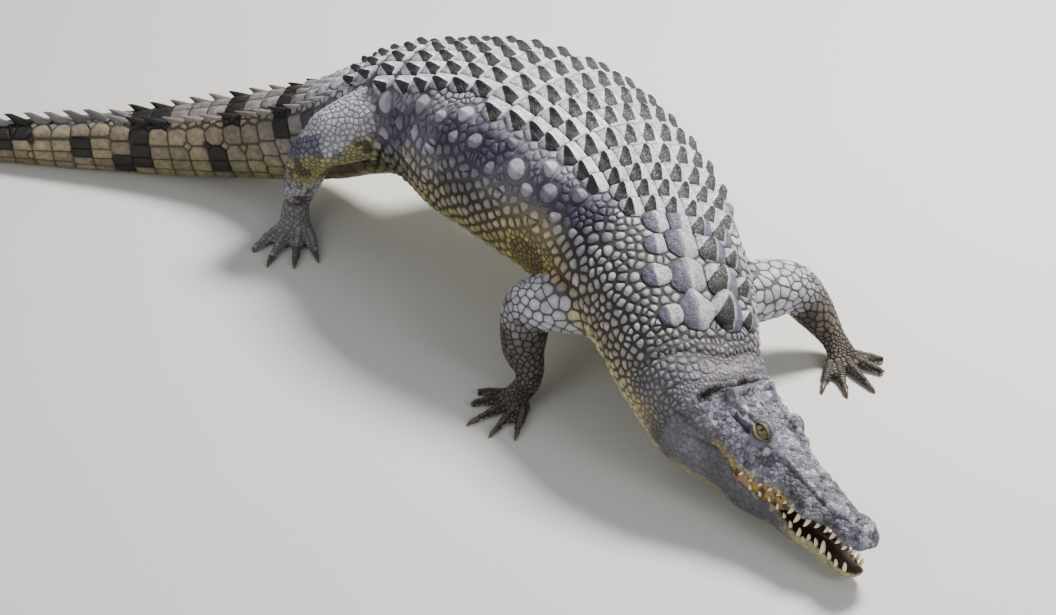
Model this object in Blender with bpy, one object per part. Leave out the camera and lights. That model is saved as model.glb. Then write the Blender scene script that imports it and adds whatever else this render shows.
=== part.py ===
"""Nile crocodile, life size, walking with its head lowered. Metres, +Z up, the floor at z = 0."""

import bpy
import numpy as np

# ---- along the animal: stations run back from the snout tip -------------------------------
SKULL = 0.42  # back of the skull table
JAW_END = 0.47  # where the head and the jaw meet the neck
NECK_END = 0.72
CHEST_END = 1.04
BELLY_END = 1.38
PELVIS_END = 1.72
TAIL_TIP = 3.20
TAIL_ENDS = (1.955, 2.237, 2.519, 2.801)  # cuts between the tail lengths
HIP = 1.56  # the station over the plan's own zero
ORIGIN_X, ORIGIN_Y = 0.2932, 0.4414  # moves the plan so that the box is centred
GAP = 0.0004  # between two solids

# ---- the pose: direction of travel in degrees from +X, height of the axis, lean to the left
HEADING = [(0, -53.5), (SKULL, -54), (0.55, -67), (0.70, -76), (0.90, -69), (1.10, -52),
           (1.30, -42), (HIP, -36), (1.72, -32), (1.90, -22), (2.10, -12), (2.40, -8), (TAIL_TIP, -8)]
HEIGHT = [(0, 0.092), (0.21, 0.124), (SKULL, 0.156), (0.55, 0.198), (0.70, 0.236), (0.90, 0.252),
          (1.10, 0.290), (1.30, 0.316), (HIP, 0.292), (1.72, 0.230), (1.85, 0.172), (2.00, 0.130),
          (2.20, 0.096), (2.45, 0.071), (2.70, 0.054), (3.00, 0.027), (TAIL_TIP, 0.005)]
LEAN = [(0, 15), (SKULL, 16), (0.55, 21), (0.70, 24), (0.90, 23), (1.15, 15), (1.40, 5), (1.60, 0),
        (TAIL_TIP, 0)]

# ---- the flesh about the axis ---------------------------------------------------------------
HALF_WIDTH = [(0, 0.03), (SKULL, 0.123), (JAW_END, 0.138), (0.62, 0.168), (0.80, 0.205), (1.00, 0.248),
              (1.20, 0.266), (1.38, 0.240), (HIP, 0.162), (1.72, 0.120), (1.85, 0.104), (2.20, 0.070),
              (2.70, 0.035), (TAIL_TIP, 0.004)]
ABOVE = [(0, 0.03), (SKULL, 0.080), (JAW_END, 0.077), (0.62, 0.116), (0.80, 0.156), (1.00, 0.186),
         (1.20, 0.198), (1.38, 0.187), (HIP, 0.158), (1.72, 0.134), (1.95, 0.104), (2.20, 0.077),
         (2.45, 0.054), (2.70, 0.036), (3.00, 0.018), (TAIL_TIP, 0.005)]
BELOW = [(0, 0.03), (SKULL, 0.142), (JAW_END, 0.148), (0.62, 0.140), (0.80, 0.156), (1.00, 0.185),
         (1.20, 0.192), (1.38, 0.178), (HIP, 0.140), (1.72, 0.116), (2.20, 0.090), (2.45, 0.073),
         (2.70, 0.056), (3.00, 0.029), (TAIL_TIP, 0.006)]
BOXY = [(0, 2.2), (JAW_END, 2.3), (1.0, 2.25), (1.7, 2.3), (2.0, 2.7), (TAIL_TIP, 2.4)]
WHORL = 0.047  # one ring of tail plates, with its crest blade
CREST = [(1.50, 0), (1.72, 0.008), (1.95, 0.026), (2.20, 0.036), (2.60, 0.035), (2.90, 0.024),
         (3.12, 0.008), (TAIL_TIP, 0)]
CREST_SPREAD = [(1.50, 34), (1.95, 30), (2.25, 24), (2.42, 0), (TAIL_TIP, 0)]  # degrees off the top

# ---- the head, about the mouth line ---------------------------------------------------------
JAW_HALF = [(0, 0.024), (0.02, 0.040), (0.045, 0.045), (0.078, 0.039), (0.10, 0.046), (0.145, 0.061),
            (0.20, 0.061), (0.26, 0.075), (0.32, 0.094), (0.38, 0.112), (0.43, 0.127), (JAW_END, 0.138)]
HEAD_TOP = [(0, 0.012), (0.012, 0.026), (0.035, 0.037), (0.07, 0.032), (0.12, 0.033), (0.20, 0.041),
            (0.25, 0.050), (0.285, 0.059), (0.32, 0.067), (0.36, 0.074), (SKULL, 0.080), (0.45, 0.076),
            (JAW_END, 0.077)]
HEAD_BOXY = [(0, 2.1), (0.15, 2.4), (0.25, 2.1), (0.32, 1.75), (0.40, 1.85), (JAW_END, 2.3)]
MOUTH = [(0, -0.004), (0.03, -0.008), (0.078, -0.007), (0.14, -0.020), (0.205, -0.012), (0.27, -0.022),
         (0.32, -0.012), (0.36, 0.002), (0.40, 0.006), (JAW_END, 0)]
JAW_CORNER = 0.340
JAW_JOINT = 0.44
GAPE = 7.0  # degrees the mouth is open
LOW_HALF = [(0, 0.016), (0.02, 0.031), (0.05, 0.037), (0.078, 0.040), (0.11, 0.039), (0.15, 0.051),
            (0.20, 0.053), (0.26, 0.067), (0.32, 0.090), (0.38, 0.112), (0.43, 0.127), (JAW_END, 0.138)]
LOW_DEPTH = [(0, 0.016), (0.02, 0.030), (0.06, 0.040), (0.12, 0.056), (0.20, 0.078), (0.28, 0.104),
             (0.34, 0.122), (0.40, 0.138), (0.44, 0.145), (JAW_END, 0.148)]
EYE_AT = (0.303, 0.041, 0.0575)  # back, out, up
EYE_R = 0.021
ORBIT = (0.303, 0.042, 0.019)  # the mound over the eye: back, out, how high


def smooth(table, s):
    """A curve through (station, value) pairs that never overshoots them."""
    x, y = np.array(table, float).T
    d = np.diff(y) / np.diff(x)
    m = np.zeros(len(x))
    m[1:-1] = np.where(d[:-1] * d[1:] > 0, 2 * d[:-1] * d[1:] / (d[:-1] + d[1:] + 1e-12), 0)
    m[0], m[-1] = d[0], d[-1]
    s = np.clip(np.asarray(s, float), x[0], x[-1])
    i = np.clip(np.searchsorted(x, s, side="right") - 1, 0, len(x) - 2)
    h = x[i + 1] - x[i]
    u = (s - x[i]) / h
    return ((2 * u**3 - 3 * u**2 + 1) * y[i] + (u**3 - 2 * u**2 + u) * h * m[i]
            + (3 * u**2 - 2 * u**3) * y[i + 1] + (u**3 - u**2) * h * m[i + 1])


def unit(v):
    v = np.asarray(v, float)
    return v / np.linalg.norm(v, axis=-1, keepdims=True)


def walk_axis(step=0.005):
    s = np.arange(0, TAIL_TIP + step / 2, step)
    z = smooth(HEIGHT, s)
    flat = np.sqrt(np.maximum(1 - np.gradient(z, s) ** 2, 0.2))
    turn = np.radians(smooth(HEADING, s))
    dx, dy = -np.cos(turn) * flat, -np.sin(turn) * flat
    x = np.concatenate([[0], np.cumsum((dx[1:] + dx[:-1]) / 2 * step)])
    y = np.concatenate([[0], np.cumsum((dy[1:] + dy[:-1]) / 2 * step)])
    k = int(round(HIP / step))
    return s, np.stack([x - x[k] + ORIGIN_X, y - y[k] + ORIGIN_Y, z], 1)


AXIS_S, AXIS_P = walk_axis()


def axis_point(s):
    return np.stack([np.interp(s, AXIS_S, AXIS_P[:, k]) for k in range(3)], -1)


def frame_at(s):
    """Points on the axis and the forward, left and up directions there."""
    s = np.atleast_1d(np.asarray(s, float))
    f = unit(axis_point(np.clip(s - 0.01, 0, None)) - axis_point(np.clip(s + 0.01, None, TAIL_TIP)))
    left = unit(np.cross([0, 0, 1.0], f))
    up = np.cross(f, left)
    lean = np.radians(smooth(LEAN, s))[:, None]
    p = axis_point(s)
    return p, f, left * np.cos(lean) - up * np.sin(lean), up * np.cos(lean) + left * np.sin(lean)


def place(s, out, up):
    """World points from a station and the distances to the left of the axis and above it."""
    p, _, lv, uv = frame_at(np.ravel(s))
    return p + np.ravel(out)[:, None] * lv + np.ravel(up)[:, None] * uv


def power(c, e):
    return np.sign(c) * np.abs(c) ** e


# ---- solids -----------------------------------------------------------------------------------
def material(name, rgb, rough):
    m = bpy.data.materials.new(name + "_mat")
    m.use_nodes = True
    b = m.node_tree.nodes["Principled BSDF"]
    b.inputs["Base Color"].default_value = (*rgb, 1)
    b.inputs["Roughness"].default_value = rough
    return m


HIDE = (0.20, 0.19, 0.17)
HORN = (0.05, 0.045, 0.04)
CORNEA = (0.35, 0.26, 0.06)


def solid(name, points, faces, rgb=HIDE, rough=0.6, helper=False):
    mesh = bpy.data.meshes.new(name)
    mesh.from_pydata([tuple(map(float, p)) for p in points], [], faces)
    mesh.polygons.foreach_set("use_smooth", [True] * len(mesh.polygons))
    mesh.materials.append(material(name, rgb, rough))
    mesh.update()
    obj = bpy.data.objects.new(name, mesh)
    bpy.context.scene.collection.objects.link(obj)
    if helper:
        obj.hide_render = True
        obj.display_type = "WIRE"
    return obj


def loft(rings):
    """Points and faces of a closed body through rings, each wound alike, with a fan over each end."""
    rings = np.array(rings)
    m, n, _ = rings.shape
    points = list(rings.reshape(-1, 3)) + [rings[0].mean(0), rings[-1].mean(0)]
    faces = []
    for i in range(m - 1):
        for j in range(n):
            k = (j + 1) % n
            a, b, c, d = i * n + j, i * n + k, (i + 1) * n + k, (i + 1) * n + j
            faces += [(a, b, c), (a, c, d)]
    a, b = m * n, m * n + 1
    faces += [(a, (j + 1) % n, j) for j in range(n)]
    faces += [(b, (m - 1) * n + j, (m - 1) * n + (j + 1) % n) for j in range(n)]
    points = np.array(points)
    volume = sum(np.dot(points[a], np.cross(points[b], points[c])) for a, b, c in faces)
    return points, [f[::-1] for f in faces] if volume < 0 else faces


def boolean(obj, other, kind):
    mod = obj.modifiers.new(kind.lower(), "BOOLEAN")
    mod.operation = kind
    mod.solver = "EXACT"
    mod.object = other


# ---- the body ------------------------------------------------------------------------------------
def crest(s, angle):
    """How far the crest stands over the flesh: blades in whorls, two rows that meet half way back."""
    phase = ((s - PELVIS_END) / WHORL) % 1.0
    blade = np.where(phase < 0.86, 0.45 + 0.55 * phase / 0.86, 0.45 + 0.55 * (1 - phase) / 0.14)
    spread = smooth(CREST_SPREAD, s)
    off = np.abs(np.abs(np.degrees(angle)) - spread)
    return smooth(CREST, s) * blade * np.exp(-((off / 9.0) ** 2))


def body_ring(s, n, grow=0.0):
    angle = np.arange(n) * 2 * np.pi / n
    angle = np.where(angle > np.pi, angle - 2 * np.pi, angle)
    e = 2 / float(smooth(BOXY, s))
    above, below, half = (float(smooth(t, s)) + grow for t in (ABOVE, BELOW, HALF_WIDTH))
    out = half * power(np.sin(angle), e)
    c = power(np.cos(angle), e)
    up = np.where(c > 0, above * c, below * c) + crest(s, angle)
    return place(np.full(n, s), out, up)


def body_piece(name, stations, n):
    """A length of the body, and a helper that stands a gap proud of it, for cutting what meets it."""
    piece = solid(name, *loft([body_ring(s, n) for s in stations]))
    proud = [stations[0] - GAP, *stations, stations[-1] + GAP]
    return piece, solid(name + "_proud", *loft([body_ring(s, n, GAP) for s in proud]), helper=True)


def body_length(name, start, end, step, n):
    count = max(2, int(np.ceil((end - start) / step)) + 1)
    return body_piece(name, np.linspace(start + GAP / 2, end - GAP / 2, count), n)


def tail_length(name, start, end, n):
    first = int(round((start - PELVIS_END) / WHORL))
    last = int(round((end - PELVIS_END) / WHORL))
    stations = []
    for k in range(first, last):
        a = PELVIS_END + k * WHORL
        stations += [a, a + 0.86 * WHORL]
    stations[0] += GAP / 2
    stations = [s for s in stations if s < end - 0.01]
    stations.append(end - GAP / 2)
    return body_piece(name, stations, n)


# ---- the head ------------------------------------------------------------------------------------
def blob(u, v, at_u, at_v, wide_u, wide_v):
    return np.exp(-(((u - at_u) / wide_u) ** 2) - ((v - at_v) / wide_v) ** 2)


def tip_round(u, over):
    return np.sqrt(np.clip(1 - (1 - np.clip(u / over, 0, 1)) ** 2, 0.02, 1))


def head_top(u, angle):
    """Out and up of the skull's skin: angle runs from the right lip over the top to the left lip."""
    e = 2 / smooth(HEAD_BOXY, u)
    out = smooth(JAW_HALF, u) * power(np.sin(angle), e)
    lip = smooth(MOUTH, u)
    up = lip + (smooth(HEAD_TOP, u) - lip) * np.abs(np.cos(angle)) ** e
    v = np.abs(out)
    up = up + ORBIT[2] * blob(u, v, ORBIT[0], ORBIT[1], 0.030, 0.017)
    up = up - 0.004 * blob(u, v, 0.31, 0, 0.05, 0.014)
    up = up + 0.005 * blob(u, v, 0.035, 0, 0.020, 0.020)
    up = up + 0.005 * blob(u, v, 0.24, 0.033, 0.045, 0.010)
    up = up + 0.011 * blob(u, v, SKULL - 0.006, 0.052, 0.034, 0.018)
    return out, up


def head_ring(u):
    angle = np.radians(np.linspace(-90, 90, 15))
    out, up = head_top(np.full(15, u), angle)
    lip = float(smooth(MOUTH, u))
    across = np.linspace(1, -1, 5)[1:-1]
    roof = lip + 0.004 * (1 - across**2)
    if u > JAW_CORNER - 0.001:
        roof = np.full(3, lip)
    out = np.concatenate([out, across * float(smooth(JAW_HALF, u))])
    up = np.concatenate([up, roof])
    return place(np.full(len(out), u), out, up)


def drop(u):
    """How far the lower jaw has swung down."""
    open_by = np.clip((JAW_CORNER - u) / 0.05, 0, 1)
    return np.maximum((JAW_JOINT - u) * np.tan(np.radians(GAPE)) * open_by**2 * (3 - 2 * open_by), GAP)


def jaw_ring(u):
    angle = np.radians(np.linspace(-90, 90, 13))
    half, deep = float(smooth(LOW_HALF, u)), float(smooth(LOW_DEPTH, u))
    lip = float(smooth(MOUTH, u) - drop(u))
    e = 2 / 2.3
    out = half * power(np.sin(angle), e)
    deep = deep + float(drop(u))
    up = lip - (deep + lip) * np.abs(np.cos(angle)) ** e
    across = np.linspace(1, -1, 5)[1:-1]
    floor = np.full(3, lip - (0.003 if u < JAW_CORNER - 0.03 else 0))
    return place(np.full(16, u), np.concatenate([out, across * half]), np.concatenate([up, floor]))


def cone(base, tip, radius, sides=4, sunk=0.004):
    """A tooth: a cone whose base is sunk into the jaw."""
    d = unit(tip - base)
    a = unit(np.cross(d, [0.3, 0.5, 0.81]))
    b = np.cross(d, a)
    turn = np.arange(sides) * 2 * np.pi / sides
    root = base - d * sunk
    ring = [root + radius * (np.cos(t) * a + np.sin(t) * b) for t in turn]
    faces = [tuple(range(sides))[::-1]] + [(j, (j + 1) % sides, sides) for j in range(sides)]
    return ring + [tip], faces


def tooth_row(name, upper):
    """One mesh of all the teeth of a jaw, to be joined to it."""
    points, faces = [], []
    count = 14 if upper else 11
    for k in range(count):
        t = (k + 0.5) / count
        u = 0.008 + 0.285 * t**1.15 if upper else 0.018 + 0.235 * t**1.15
        big = 0.012 + 0.004 * np.cos(k * 1.7) + 0.005 * float(blob(u, 0, 0.13, 0, 0.03, 1))
        if not upper:
            big = min(big, float(drop(u)) * 0.8)
            if k == 3:
                big = 0.020
        half = float(smooth(JAW_HALF if upper else LOW_HALF, u))
        lip = float(smooth(MOUTH, u)) - (0 if upper else float(drop(u)))
        for side in (-1, 1):
            out = side * (half - (0.0005 if upper else 0.002)) * (0.86 if k == 0 else 1)
            sign = -1 if upper else 1
            if k == 3 and not upper:
                out = side * 0.0400
            base = place(u, out, lip)[0]
            tip = place(u - 0.001, out + side * 0.002, lip + sign * big)[0]
            p, f = cone(base, tip, 0.0034)
            faces += [tuple(i + len(points) for i in q) for q in f]
            points += p
    return solid(name, points, faces, helper=True)


def ball(name, centre, radius, helper=False, rgb=CORNEA, rough=0.1):
    rows, n = 6, 10
    points = [centre + np.array([0, 0, radius])]
    for i in range(1, rows):
        a = np.pi * i / rows
        for j in range(n):
            b = 2 * np.pi * j / n
            points.append(centre + radius * np.array([np.sin(a) * np.cos(b), np.sin(a) * np.sin(b),
                                                      np.cos(a)]))
    points.append(centre - np.array([0, 0, radius]))
    last = len(points) - 1
    faces = [(0, 1 + j, 1 + (j + 1) % n) for j in range(n)]
    for i in range(rows - 2):
        a, b = 1 + i * n, 1 + (i + 1) * n
        faces += [(a + j, b + j, b + (j + 1) % n, a + (j + 1) % n) for j in range(n)]
    a = 1 + (rows - 2) * n
    faces += [(last, a + (j + 1) % n, a + j) for j in range(n)]
    return solid(name, points, faces, rgb, rough, helper)


# ---- the legs --------------------------------------------------------------------------------------
def course(points, t):
    """A smooth path through points, t running from 0 at the first to 1 at each next one."""
    points = np.array(points, float)
    k = np.arange(len(points), dtype=float)
    m = np.gradient(points, axis=0)
    t = np.clip(np.asarray(t, float), 0, len(points) - 1)
    i = np.clip(t.astype(int), 0, len(points) - 2)
    u = (t - k[i])[..., None]
    return ((2 * u**3 - 3 * u**2 + 1) * points[i] + (u**3 - 2 * u**2 + u) * m[i]
            + (3 * u**2 - 2 * u**3) * points[i + 1] + (u**3 - u**2) * m[i + 1])


def limb_rings(leg, ts, n, reach=0.5):
    """Rings down a leg. The leg holds its joints, a half width and a half depth at each, and the
    direction of the width at each. The rings turn with the path over this reach either way, so that
    they fan out round a bent joint and never cross."""
    rings = []
    angle = np.arange(n) * 2 * np.pi / n
    for t in ts:
        c = course(leg["joints"], t)
        last = len(leg["joints"]) - 1
        d = unit(course(leg["joints"], min(t + reach, last)) - course(leg["joints"], max(t - reach, 0)))
        side = course(leg["across"], t)
        side = unit(side - d * np.dot(side, d))
        deep = np.cross(d, side)
        k = np.arange(len(leg["wide"]))
        a, b = np.interp(t, k, leg["wide"]), np.interp(t, k, leg["deep"])
        rings.append(c + a * power(np.cos(angle), 0.9)[:, None] * side
                     + b * power(np.sin(angle), 0.9)[:, None] * deep)
    return rings


def digit_path(start, way, length, lift):
    """The bones of a toe: out from the palm, over the knuckle and down to the claw."""
    way = unit([way[0], way[1], 0])
    z = start[2]
    return [start, start + way * length * 0.45 + [0, 0, lift], np.array([*(start + way * length)[:2],
                                                                         z * 0.74])]


def make_digits(tag, leg, slab):
    """Toes joined to the palm, the claws apart from them."""
    palm = leg["joints"][-1]
    front = unit(leg["point"])
    across = unit(np.cross([0, 0, 1.0], front)) * leg["inner"]
    made = []
    for i, (shift, turn, length) in enumerate(leg["digits"]):
        way = front * np.cos(np.radians(turn)) + across * np.sin(np.radians(turn))
        start = np.array(palm) + across * shift - front * 0.022
        start[2] = leg["toe"] * 0.76
        path = digit_path(start, way, length + 0.022, 0.003)
        thick = leg["toe"]
        toe = {"joints": path, "across": [across] * 3, "wide": [thick * 1.1, thick, thick * 0.72],
               "deep": [thick * 0.9, thick * 0.9, thick * 0.66]}
        rings = limb_rings(toe, [0, 0.75, 1.4, 2], 6, 0.04)
        made.append(solid(f"{tag}_digit_{i}", *loft(rings), helper=True))
        if i < 3:
            tip = path[-1]
            d = unit(tip - course(path, 1.96))
            end = tip + unit([d[0], d[1], 0]) * leg["claw"]
            end[2] = 0.0025
            r = thick * 0.56
            claw = {"joints": [tip + d * 2 * GAP, tip + d * 0.013, end],
                    "across": [across] * 3, "wide": [r, r * 0.75, 0.0009], "deep": [r, r * 0.8, 0.0009]}
            rings = limb_rings(claw, [0, 1, 2], 6, 0.04)
            piece = solid(f"claw_{tag}_{i + 1}", *loft(rings), rgb=HORN, rough=0.4)
            if min(p[2] for ring in rings for p in ring) < 0:
                boolean(piece, slab, "DIFFERENCE")
    return made


def make_leg(names, leg, n, cutters, slab):
    upper, lower, foot = names
    elbow, wrist = leg["elbow"], leg["wrist"]
    end = len(leg["joints"]) - 1
    rings = [limb_rings(leg, np.linspace(a, b, count), n)
             for a, b, count in ((0, elbow, 8), (elbow, wrist, 6), (wrist, end, 4))]
    for above, below, t in ((rings[0], rings[1], elbow), (rings[1], rings[2], wrist)):
        back = unit(course(leg["joints"], t - 0.5) - course(leg["joints"], min(t + 0.5, end))) * GAP / 2
        above[-1] = above[-1] + back
        below[0] = below[0] - back
    top = solid(upper, *loft(rings[0]))
    for cutter in cutters:
        boolean(top, cutter, "DIFFERENCE")
    solid(lower, *loft(rings[1]))
    palm = solid(foot, *loft(rings[2]))
    for toe in make_digits(foot, leg, slab):
        boolean(palm, toe, "UNION")
    boolean(palm, slab, "DIFFERENCE")


def from_hip(x, y, z):
    """A point given from the plan's own zero."""
    return np.array([x + ORIGIN_X, y + ORIGIN_Y, z])


FORE_DIGITS = [(0.024, 42, 0.062), (0.014, 20, 0.078), (0.001, -2, 0.082), (-0.012, -26, 0.070),
               (-0.022, -50, 0.052)]
HIND_DIGITS = [(0.026, 24, 0.078), (0.010, 8, 0.100), (-0.008, -8, 0.104), (-0.024, -26, 0.088)]

RIGHT_FORE = {
    "joints": [from_hip(0.42, -0.60, 0.235), from_hip(0.350, -0.616, 0.228),
               from_hip(0.285, -0.607, 0.222), from_hip(0.206, -0.580, 0.188),
               from_hip(0.192, -0.602, 0.105), from_hip(0.203, -0.634, 0.050),
               from_hip(0.162, -0.670, 0.0135)],
    "across": [(-0.35, 0.9, 0), (-0.3, 0.9, 0.2), (-0.1, 1, 0.3), (-0.6, 0.8, 0),
               (-0.8, 0.6, 0), (-0.6, 0.8, 0), (-0.5, 0.86, 0)],
    "wide": [0.080, 0.074, 0.066, 0.058, 0.047, 0.030, 0.034],
    "deep": [0.075, 0.072, 0.066, 0.056, 0.044, 0.024, 0.016],
    "elbow": 3, "wrist": 5, "point": (-0.80, -0.60, 0), "inner": 1, "digits": FORE_DIGITS,
    "toe": 0.0115, "claw": 0.026,
}
LEFT_FORE = {
    "joints": [from_hip(0.54, -0.56, 0.20), from_hip(0.62, -0.520, 0.175),
               from_hip(0.695, -0.485, 0.165), from_hip(0.755, -0.462, 0.150),
               from_hip(0.800, -0.470, 0.100), from_hip(0.838, -0.492, 0.048),
               from_hip(0.866, -0.535, 0.0135)],
    "across": [(-0.35, 0.9, 0), (-0.3, 0.9, 0.1), (-0.3, 0.9, 0.2), (0.2, 0.9, 0),
               (0.5, 0.8, 0), (0.7, 0.6, 0), (0.9, 0.45, 0)],
    "wide": [0.078, 0.072, 0.064, 0.055, 0.045, 0.030, 0.034],
    "deep": [0.074, 0.070, 0.062, 0.053, 0.042, 0.024, 0.016],
    "elbow": 3, "wrist": 5, "point": (0.45, -0.89, 0), "inner": -1, "digits": FORE_DIGITS,
    "toe": 0.0115, "claw": 0.026,
}
RIGHT_HIND = {
    "joints": [from_hip(0.01, 0.01, 0.300), from_hip(-0.075, -0.020, 0.305),
               from_hip(-0.165, -0.045, 0.290), from_hip(-0.248, -0.055, 0.248),
               from_hip(-0.285, -0.015, 0.145), from_hip(-0.305, 0.028, 0.055),
               from_hip(-0.312, -0.032, 0.0160)],
    "across": [(0.5, 0.1, 1), (0.4, 0.1, 1), (0.3, 0.2, 1), (0.7, 0.3, 0.6),
               (0.9, 0.3, 0.2), (1, 0, 0), (1, 0, 0)],
    "wide": [0.092, 0.088, 0.076, 0.058, 0.044, 0.031, 0.038],
    "deep": [0.080, 0.074, 0.062, 0.050, 0.040, 0.026, 0.018],
    "elbow": 3, "wrist": 5, "point": (-0.18, -0.98, 0), "inner": 1, "digits": HIND_DIGITS,
    "toe": 0.0130, "claw": 0.028,
}
LEFT_HIND = {
    "joints": [from_hip(-0.02, 0.02, 0.285), from_hip(0.080, 0.085, 0.275),
               from_hip(0.165, 0.125, 0.250), from_hip(0.240, 0.160, 0.205),
               from_hip(0.235, 0.205, 0.125), from_hip(0.200, 0.235, 0.055),
               from_hip(0.262, 0.218, 0.0160)],
    "across": [(0.5, 0.1, 1), (0.4, 0.1, 1), (0.3, 0, 1), (0.7, -0.3, 0.6),
               (0.8, -0.4, 0.4), (0.5, 0.8, 0), (0.5, 0.8, 0)],
    "wide": [0.092, 0.088, 0.076, 0.058, 0.044, 0.031, 0.038],
    "deep": [0.080, 0.074, 0.062, 0.050, 0.040, 0.026, 0.018],
    "elbow": 3, "wrist": 5, "point": (0.90, -0.25, 0), "inner": -1, "digits": HIND_DIGITS,
    "toe": 0.0130, "claw": 0.028,
}


def main():
    for obj in list(bpy.data.objects):
        bpy.data.objects.remove(obj, do_unlink=True)
    bpy.context.scene.unit_settings.scale_length = 1.0

    low = -0.2
    corners = [(x, y, z) for z in (low, 0.0) for x, y in ((-3, -3), (3, -3), (3, 3), (-3, 3))]
    sides = [(3, 2, 1, 0), (4, 5, 6, 7), (0, 1, 5, 4), (1, 2, 6, 5), (2, 3, 7, 6), (3, 0, 4, 7)]
    slab = solid("slab", corners, sides, helper=True)

    cheek = [0.322, JAW_CORNER, 0.360, 0.385, 0.405, SKULL, 0.436, JAW_END - GAP / 2]
    head_at = [0, 0.005, 0.012, 0.024, 0.040, 0.058, 0.078, 0.096, 0.120, 0.145, 0.175, 0.205, 0.235,
               0.258, 0.276, 0.290, 0.305, *cheek]
    rings = [head_ring(u) for u in head_at]
    rings[0] = rings[0].mean(0) + (rings[0] - rings[0].mean(0)) * 0.35
    head = solid("head", *loft(rings))
    jaw_at = [0.002, 0.008, 0.020, 0.045, 0.078, 0.110, 0.150, 0.200, 0.245, 0.285, *cheek]
    rings = [jaw_ring(u) for u in jaw_at]
    rings[0] = rings[0].mean(0) + (rings[0] - rings[0].mean(0)) * 0.35
    jaw = solid("lower_jaw", *loft(rings))
    for side, word in ((1, "left"), (-1, "right")):
        centre = place(EYE_AT[0], side * EYE_AT[1], EYE_AT[2])[0]
        boolean(head, ball(f"socket_{word}", centre, EYE_R + GAP, helper=True), "DIFFERENCE")
        ball(f"eye_{word}", centre, EYE_R)
    boolean(head, tooth_row("upper_teeth", True), "UNION")
    boolean(jaw, tooth_row("lower_teeth", False), "UNION")
    boolean(jaw, slab, "DIFFERENCE")

    _, neck = body_length("neck", JAW_END, NECK_END, 0.045, 26)
    _, chest = body_length("trunk_front", NECK_END, CHEST_END, 0.055, 26)
    body_length("trunk_middle", CHEST_END, BELLY_END, 0.058, 26)
    _, rump = body_length("pelvis", BELLY_END, PELVIS_END, 0.058, 26)
    tails = []
    for i, (a, b) in enumerate(zip((PELVIS_END, *TAIL_ENDS), (*TAIL_ENDS, TAIL_TIP)), 1):
        piece, proud = tail_length(f"tail_{i}", a, b, 16 if i < 4 else 14)
        tails.append(proud)
        if b > 2.1:
            boolean(piece, slab, "DIFFERENCE")

    make_leg(("upper_arm_right", "forearm_right", "hand_right"), RIGHT_FORE, 12, (neck, chest), slab)
    make_leg(("upper_arm_left", "forearm_left", "hand_left"), LEFT_FORE, 12, (neck, chest), slab)
    make_leg(("thigh_right", "shank_right", "foot_right"), RIGHT_HIND, 12, (rump, tails[0]), slab)
    make_leg(("thigh_left", "shank_left", "foot_left"), LEFT_HIND, 12, (rump, tails[0]), slab)


main()
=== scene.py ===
"""The looks of a life-size Nile crocodile: one skin over the flesh, scales as solid mesh on it, eyes with
lids, teeth and claws. Metres, +Z up, the floor at z = 0."""

import math

import bmesh
import bpy
import numpy as np
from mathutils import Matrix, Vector
from mathutils.bvhtree import BVHTree
from mathutils.kdtree import KDTree


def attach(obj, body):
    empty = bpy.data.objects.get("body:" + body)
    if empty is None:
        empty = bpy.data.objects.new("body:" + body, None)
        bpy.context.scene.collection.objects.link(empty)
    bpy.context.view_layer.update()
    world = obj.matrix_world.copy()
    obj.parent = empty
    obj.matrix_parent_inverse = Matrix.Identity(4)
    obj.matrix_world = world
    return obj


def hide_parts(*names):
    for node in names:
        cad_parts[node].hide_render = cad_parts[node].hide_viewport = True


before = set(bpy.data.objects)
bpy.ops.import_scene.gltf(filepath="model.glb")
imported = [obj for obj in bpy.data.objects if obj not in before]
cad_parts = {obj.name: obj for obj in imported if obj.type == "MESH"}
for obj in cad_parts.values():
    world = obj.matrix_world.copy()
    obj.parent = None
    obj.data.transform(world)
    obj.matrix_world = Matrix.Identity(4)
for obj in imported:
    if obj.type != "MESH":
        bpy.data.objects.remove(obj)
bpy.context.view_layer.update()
RNG = np.random.default_rng(11)
# ---- along the animal: stations run back from the snout tip -------------------------------
SKULL = 0.42  # back of the skull table
JAW_END = 0.47  # where the head and the jaw meet the neck
SHOULDER = 0.84  # where the scales of the neck give way to those of the flank
RUMP = 1.68  # and those of the flank to the tail's
PELVIS_END = 1.72
TAIL_TIP = 3.20
HIP = 1.56  # the station over the plan's own zero
ORIGIN_X, ORIGIN_Y = 0.2932, 0.4414  # moves the plan so that the box is centred
GAP = 0.0004  # between two solids

# ---- the pose: direction of travel in degrees from +X, height of the axis, lean to the left
HEADING = [(0, -53.5), (SKULL, -54), (0.55, -67), (0.70, -76), (0.90, -69), (1.10, -52),
           (1.30, -42), (HIP, -36), (1.72, -32), (1.90, -22), (2.10, -12), (2.40, -8), (TAIL_TIP, -8)]
HEIGHT = [(0, 0.092), (0.21, 0.124), (SKULL, 0.156), (0.55, 0.198), (0.70, 0.236), (0.90, 0.252),
          (1.10, 0.290), (1.30, 0.316), (HIP, 0.292), (1.72, 0.230), (1.85, 0.172), (2.00, 0.130),
          (2.20, 0.096), (2.45, 0.071), (2.70, 0.054), (3.00, 0.027), (TAIL_TIP, 0.005)]
LEAN = [(0, 15), (SKULL, 16), (0.55, 21), (0.70, 24), (0.90, 23), (1.15, 15), (1.40, 5), (1.60, 0),
        (TAIL_TIP, 0)]

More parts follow.
